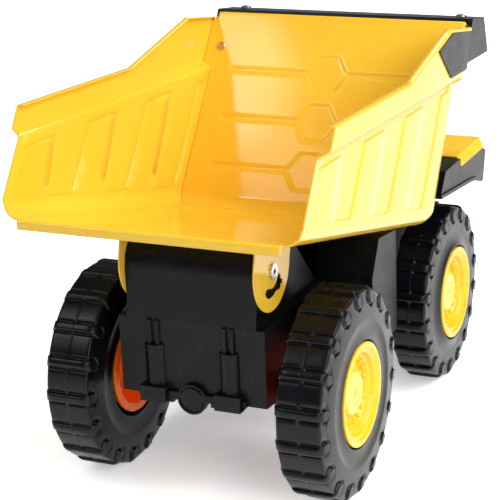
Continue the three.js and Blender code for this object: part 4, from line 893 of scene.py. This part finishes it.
def srgb(r, g, b):
    def line(v):
        v /= 255
        return v / 12.92 if v <= 0.04045 else ((v + 0.055) / 1.055) ** 2.4
    return (line(r), line(g), line(b), 1.0)


class Look:
    """One node material."""

    def __init__(self, name, **values):
        self.material = bpy.data.materials.new(name)
        self.material.use_nodes = True
        self.tree = self.material.node_tree
        self.shader = self.tree.nodes["Principled BSDF"]
        for key, value in values.items():
            self.shader.inputs[key.replace("_", " ")].default_value = value
        self.place = add_node(self.tree, "ShaderNodeTexCoord").outputs["Object"]

    def noise(self, scale, detail):
        inputs = {"Scale": scale, "Detail": detail, "Roughness": 0.5, "Vector": self.place}
        return add_node(self.tree, "ShaderNodeTexNoise", inputs).outputs["Fac"]

    def spread(self, value, low, high, to_low=0.0, to_high=1.0):
        inputs = {
            "From Min": low, "From Max": high, "To Min": to_low, "To Max": to_high, "Value": value,
        }
        return add_node(self.tree, "ShaderNodeMapRange", inputs).outputs["Result"]

    def mix(self, share, one, other):
        inputs = {0: share, 6: one, 7: other}
        return add_node(self.tree, "ShaderNodeMix", inputs, data_type="RGBA").outputs[2]

    def times(self, one, other):
        inputs = {0: one, 1: other}
        return add_node(self.tree, "ShaderNodeMath", inputs, operation="MULTIPLY").outputs[0]

    def cloud(self, scale, detail, low, high, one, other):
        """A colour that drifts from one to the other as a noise goes from low to high."""
        return self.mix(self.spread(self.noise(scale, detail), low, high), one, other)

    def wear_and_highlight(self, base, low, high, scale, amount, colour):
        """The base with paler outer edges, partly rubbed paint and partly a painted highlight,
        which start at low and are full at high sharpness.
        """
        point = add_node(self.tree, "ShaderNodeNewGeometry").outputs["Pointiness"]
        patches = self.spread(self.noise(scale, 4), 0.35, 0.6)
        worn_and_lit = self.times(self.spread(point, low, high), patches)
        return self.mix(self.times(worn_and_lit, amount), base, colour)

    def colour(self, value):
        self.tree.links.new(value, self.shader.inputs["Base Color"])

    def roughness(self, scale, detail, low, high):
        """Roughness that drifts between low and high."""
        value = self.spread(self.noise(scale, detail), 0.3, 0.7, low, high)
        self.tree.links.new(value, self.shader.inputs["Roughness"])

    def bump(self, *layers):
        """layers: (height, strength, distance in mm)."""
        inputs = {}
        for height, strength, distance in layers:
            inputs.update({"Strength": strength, "Distance": distance * MM, "Height": height})
            inputs["Normal"] = add_node(self.tree, "ShaderNodeBump", inputs).outputs["Normal"]
        self.tree.links.new(inputs["Normal"], self.shader.inputs["Normal"])


def paint_look():
    look = Look("enamelled_steel", Roughness=0.1, Specular_IOR_Level=0.36)
    base = look.cloud(9, 3, 0.35, 0.65, srgb(250, 200, 52), srgb(252, 205, 60))
    dust = look.spread(look.noise(850, 3), 0.7, 0.8, 0.0, 0.25)
    base = look.mix(dust, base, srgb(255, 212, 100))
    # Paler edges: rubbed paint with a painted highlight along them
    look.colour(look.wear_and_highlight(base, 0.54, 0.66, 160, 0.35, srgb(255, 226, 130)))
    look.roughness(30, 4, 0.08, 0.12)
    look.bump((look.noise(16, 2), 0.03, 1.0))
    return look.material


def yellow_plastic_look(name, low, high, glow=0.0):
    look = Look(name, Roughness=0.3)
    base = look.cloud(30, 3, 0.35, 0.65, srgb(*low), srgb(*high))
    # Paler edges: rubbed plastic with a painted highlight along them
    look.colour(look.wear_and_highlight(base, 0.53, 0.62, 220, 0.2, srgb(255, 233, 110)))
    look.roughness(90, 4, 0.24, 0.36)
    look.bump((look.noise(500, 2), 0.02, 0.1), (look.noise(60, 2), 0.03, 0.4))
    look.shader.inputs["Subsurface Weight"].default_value = 0.12
    look.shader.inputs["Subsurface Radius"].default_value = (1.0, 0.25, 0.05)
    look.shader.inputs["Subsurface Scale"].default_value = 0.006
    # glow is painted light: an emission for light that shows through the plastic, though it is no
    # lamp
    look.shader.inputs["Emission Color"].default_value = srgb(*low)
    look.shader.inputs["Emission Strength"].default_value = glow
    return look.material


def black_look(name, low, high, rough_low, rough_high, grain, grain_depth, specular):
    look = Look(name, Roughness=rough_low, Specular_IOR_Level=specular)
    base = look.cloud(22, 4, 0.3, 0.7, srgb(*low), srgb(*high))
    # Greyer edges: rubbed plastic with a painted highlight along them
    look.colour(look.wear_and_highlight(base, 0.53, 0.63, 260, 0.25, srgb(60, 62, 68)))
    look.roughness(70, 4, rough_low, rough_high)
    look.bump((look.noise(grain, 3), 0.2, grain_depth), (look.noise(30, 2), 0.04, 0.4))
    return look.material


def steel_look():
    look = Look("plated_steel", Roughness=0.22, Metallic=1.0)
    look.colour(look.cloud(300, 4, 0.3, 0.7, srgb(196, 192, 184), srgb(226, 224, 220)))
    look.roughness(500, 3, 0.16, 0.34)
    look.bump((look.noise(1400, 2), 0.1, 0.1))
    return look.material


def glazing_look():
    look = Look("dark_glazing", Roughness=0.12, Coat_Weight=0.5, Coat_Roughness=0.05)
    look.colour(look.cloud(20, 2, 0.35, 0.65, srgb(22, 26, 32), srgb(34, 40, 48)))
    look.roughness(120, 3, 0.08, 0.18)
    look.bump((look.noise(50, 2), 0.05, 0.4))
    return look.material


def lamp_look():
    look = Look("clear_lens", Roughness=0.1, Coat_Weight=0.6, Coat_Roughness=0.04)
    inputs = {"Scale": 160, "Vector": look.place}
    wave = add_node(
        look.tree, "ShaderNodeTexWave", inputs, wave_type="BANDS", bands_direction="X"
    ).outputs["Fac"]
    ribs = look.spread(wave, 0, 1, 0.0, 0.6)
    look.colour(look.mix(ribs, srgb(214, 220, 226), srgb(168, 176, 186)))
    look.roughness(200, 3, 0.06, 0.16)
    look.bump((wave, 0.4, 0.4))
    return look.material


# Colours are sRGB, from 0 to 255
LOOKS = {
    "yellow_steel": paint_look(),
    "yellow_plastic": yellow_plastic_look("yellow_moulding", (255, 200, 12), (255, 207, 26)),
    "pale_plastic": yellow_plastic_look("pale_moulding", (255, 216, 84), (255, 222, 104)),
    # The hub's inboard side: a deeper orange that paints the shade in the hub, and a faint glow
    # that paints light showing through it
    "shade_and_glow_plastic": yellow_plastic_look("shade_and_glow_moulding", (255, 104, 10), (255, 118, 20), 0.14),
    "black_plastic": black_look(
        "black_moulding", (5, 6, 8), (10, 11, 14), 0.32, 0.4, 900, 0.05, 0.16
    ),
    "tyre_plastic": black_look(
        "tyre_moulding", (7, 8, 12), (13, 14, 20), 0.26, 0.34, 700, 0.06, 0.22
    ),
    "bright_steel": steel_look(),
    "dark_glazing": glazing_look(),
    "clear_plastic": lamp_look(),
}


def slot_of(name):
    """Material of a CAD node, by its name."""
    if name.startswith(("bed_", "hinge_ear")):
        return "yellow_steel"
    if name.startswith(("hub_", "deck_", "hood")) or name == "cab":
        return "yellow_plastic"
    if name.startswith("tyre_"):
        return "tyre_plastic"
    if "rivet" in name or name.startswith(("screw", "axle", "push")):
        return "bright_steel"
    if name.startswith("headlight"):
        return "clear_plastic"
    return "dark_glazing" if name == "cab_windows" else "black_plastic"


def dress_nodes():
    """Material for each CAD node, and softened edges for those that stay in view."""
    for name, node in nodes.items():
        node.data.materials.clear()
        node.data.materials.append(LOOKS[slot_of(name)])
        if node.hide_render:
            continue
        node.data.polygons.foreach_set("use_smooth", [True] * len(node.data.polygons))
        weld = node.modifiers.new("weld", "WELD")
        weld.merge_threshold = 0.02 * MM
        flat = node.modifiers.new("flat", "DECIMATE")
        flat.decimate_type = "DISSOLVE"
        flat.angle_limit = math.radians(0.6)
        bevel(node, width=0.35, angle=34, segments=2)
        even = node.modifiers.new("even", "WEIGHTED_NORMAL")
        even.keep_sharp = True
        even.weight = 100


def dress_pieces(pieces):
    for piece in pieces:
        pale = piece.name.startswith("hub_disc")
        piece.data.materials.append(LOOKS["pale_plastic" if pale else piece["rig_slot"]])
        if piece.name.startswith("hub_moulding"):
            piece.data.materials.append(LOOKS["shade_and_glow_plastic"])
            # The hub's inboard faces take the painted shade and glow
            for face in piece.data.polygons[:HUB_STEPS * HUB_INBOARD_ROWS]:
                face.material_index = 1


# Studio

def build_floor():
    """A pale floor.

    The camera, glossy and transmission rays see it brighter than it lights the truck: white far
    away, and with the truck's shadow near it.
    """
    mesh = bpy.data.meshes.new("floor")
    corners = [(x * FLOOR_SIZE, y * FLOOR_SIZE, 0) for x, y in ((-1, -1), (1, -1), (1, 1), (-1, 1))]
    mesh.from_pydata(corners, [], [(0, 1, 2, 3)])
    floor = bpy.data.objects.new("floor", mesh)
    bpy.context.scene.collection.objects.link(floor)
    material = bpy.data.materials.new("studio_floor")
    material.use_nodes = True
    tree = material.node_tree
    tree.nodes.clear()
    path = add_node(tree, "ShaderNodeLightPath").outputs
    seen = path["Is Camera Ray"]
    for other in ("Is Glossy Ray", "Is Transmission Ray"):
        seen = add_node(
            tree, "ShaderNodeMath", {0: seen, 1: path[other]}, operation="MAXIMUM"
        ).outputs[0]
    place = add_node(tree, "ShaderNodeTexCoord").outputs["Object"]
    reach = add_node(tree, "ShaderNodeVectorMath", {0: place}, operation="LENGTH")
    fade = add_node(
        tree,
        "ShaderNodeMapRange",
        {**FLOOR_FADE, "Value": reach.outputs["Value"]},
        interpolation_type="SMOOTHSTEP",
    )
    strength = add_node(
        tree, "ShaderNodeMath", {0: seen, 1: fade.outputs["Result"]}, operation="MULTIPLY"
    )
    glow = add_node(tree, "ShaderNodeEmission", {"Strength": strength.outputs[0]})
    diffuse = add_node(tree, "ShaderNodeBsdfDiffuse", {"Color": FLOOR_COLOUR})
    lit = add_node(tree, "ShaderNodeAddShader", {0: diffuse.outputs[0], 1: glow.outputs[0]})
    pale = add_node(tree, "ShaderNodeBsdfDiffuse", {"Color": FLOOR_SEEN_COLOUR})
    nothing = add_node(tree, "ShaderNodeEmission", {"Strength": 0})
    choose = add_node(
        tree, "ShaderNodeMixShader", {0: seen, 1: nothing.outputs[0], 2: pale.outputs[0]}
    )
    total = add_node(tree, "ShaderNodeAddShader", {0: lit.outputs[0], 1: choose.outputs[0]})
    add_node(tree, "ShaderNodeOutputMaterial", {"Surface": total.outputs[0]})
    floor.data.materials.append(material)


def build_world():
    """Soft light from all round; the camera sees white."""
    world = bpy.data.worlds.new("studio")
    bpy.context.scene.world = world
    world.use_nodes = True
    tree = world.node_tree
    tree.nodes.clear()
    sky = add_node(tree, "ShaderNodeBackground", {"Color": SKY_COLOUR, "Strength": SKY_STRENGTH})
    white = add_node(tree, "ShaderNodeBackground", {"Color": (1, 1, 1, 1), "Strength": 1.0})
    camera_ray = add_node(tree, "ShaderNodeLightPath").outputs["Is Camera Ray"]
    mix = add_node(
        tree, "ShaderNodeMixShader", {0: camera_ray, 1: sky.outputs[0], 2: white.outputs[0]}
    )
    add_node(tree, "ShaderNodeOutputWorld", {"Surface": mix.outputs[0]})


def add_softbox(name, place, target, size, power, shape):
    data = bpy.data.lights.new(name, "AREA")
    data.shape = shape
    data.size = size
    data.energy = power
    light = bpy.data.objects.new(name, data)
    bpy.context.scene.collection.objects.link(light)
    light.location = place
    light.rotation_mode = "QUATERNION"
    light.rotation_quaternion = (Vector(target) - Vector(place)).to_track_quat("-Z", "Y")


def build_camera():
    data = bpy.data.cameras.new("camera")
    data.sensor_width = SENSOR
    data.lens = SENSOR * FOCAL / IMAGE
    data.shift_x = (IMAGE / 2 - IMAGE_CENTRE[0]) / IMAGE
    data.shift_y = (IMAGE_CENTRE[1] - IMAGE / 2) / IMAGE
    data.clip_start, data.clip_end = 0.05, 100
    camera = bpy.data.objects.new("camera", data)
    bpy.context.scene.collection.objects.link(camera)
    axes = [Vector(axis) for axis in (CAMERA_RIGHT, CAMERA_UP, CAMERA_BACK)]
    turn = Matrix(axes).transposed().to_4x4()
    camera.matrix_world = Matrix.Translation(CAMERA_PLACE) @ turn
    bpy.context.scene.camera = camera


pieces = [build_bed(), build_panel(), build_ear("left", 1), build_ear("right", -1)]
for wheel_name, (wheel_set, wheel_side) in WHEELS.items():
    for build in (build_tyre, build_hub, build_hub_cap):
        pieces.append(build(wheel_name, wheel_set, wheel_side))
dress_pieces(pieces)
dress_nodes()
build_floor()
build_world()
for softbox in LIGHTS:
    add_softbox(*softbox)
build_camera()
bpy.context.scene.view_settings.view_transform = "Standard"
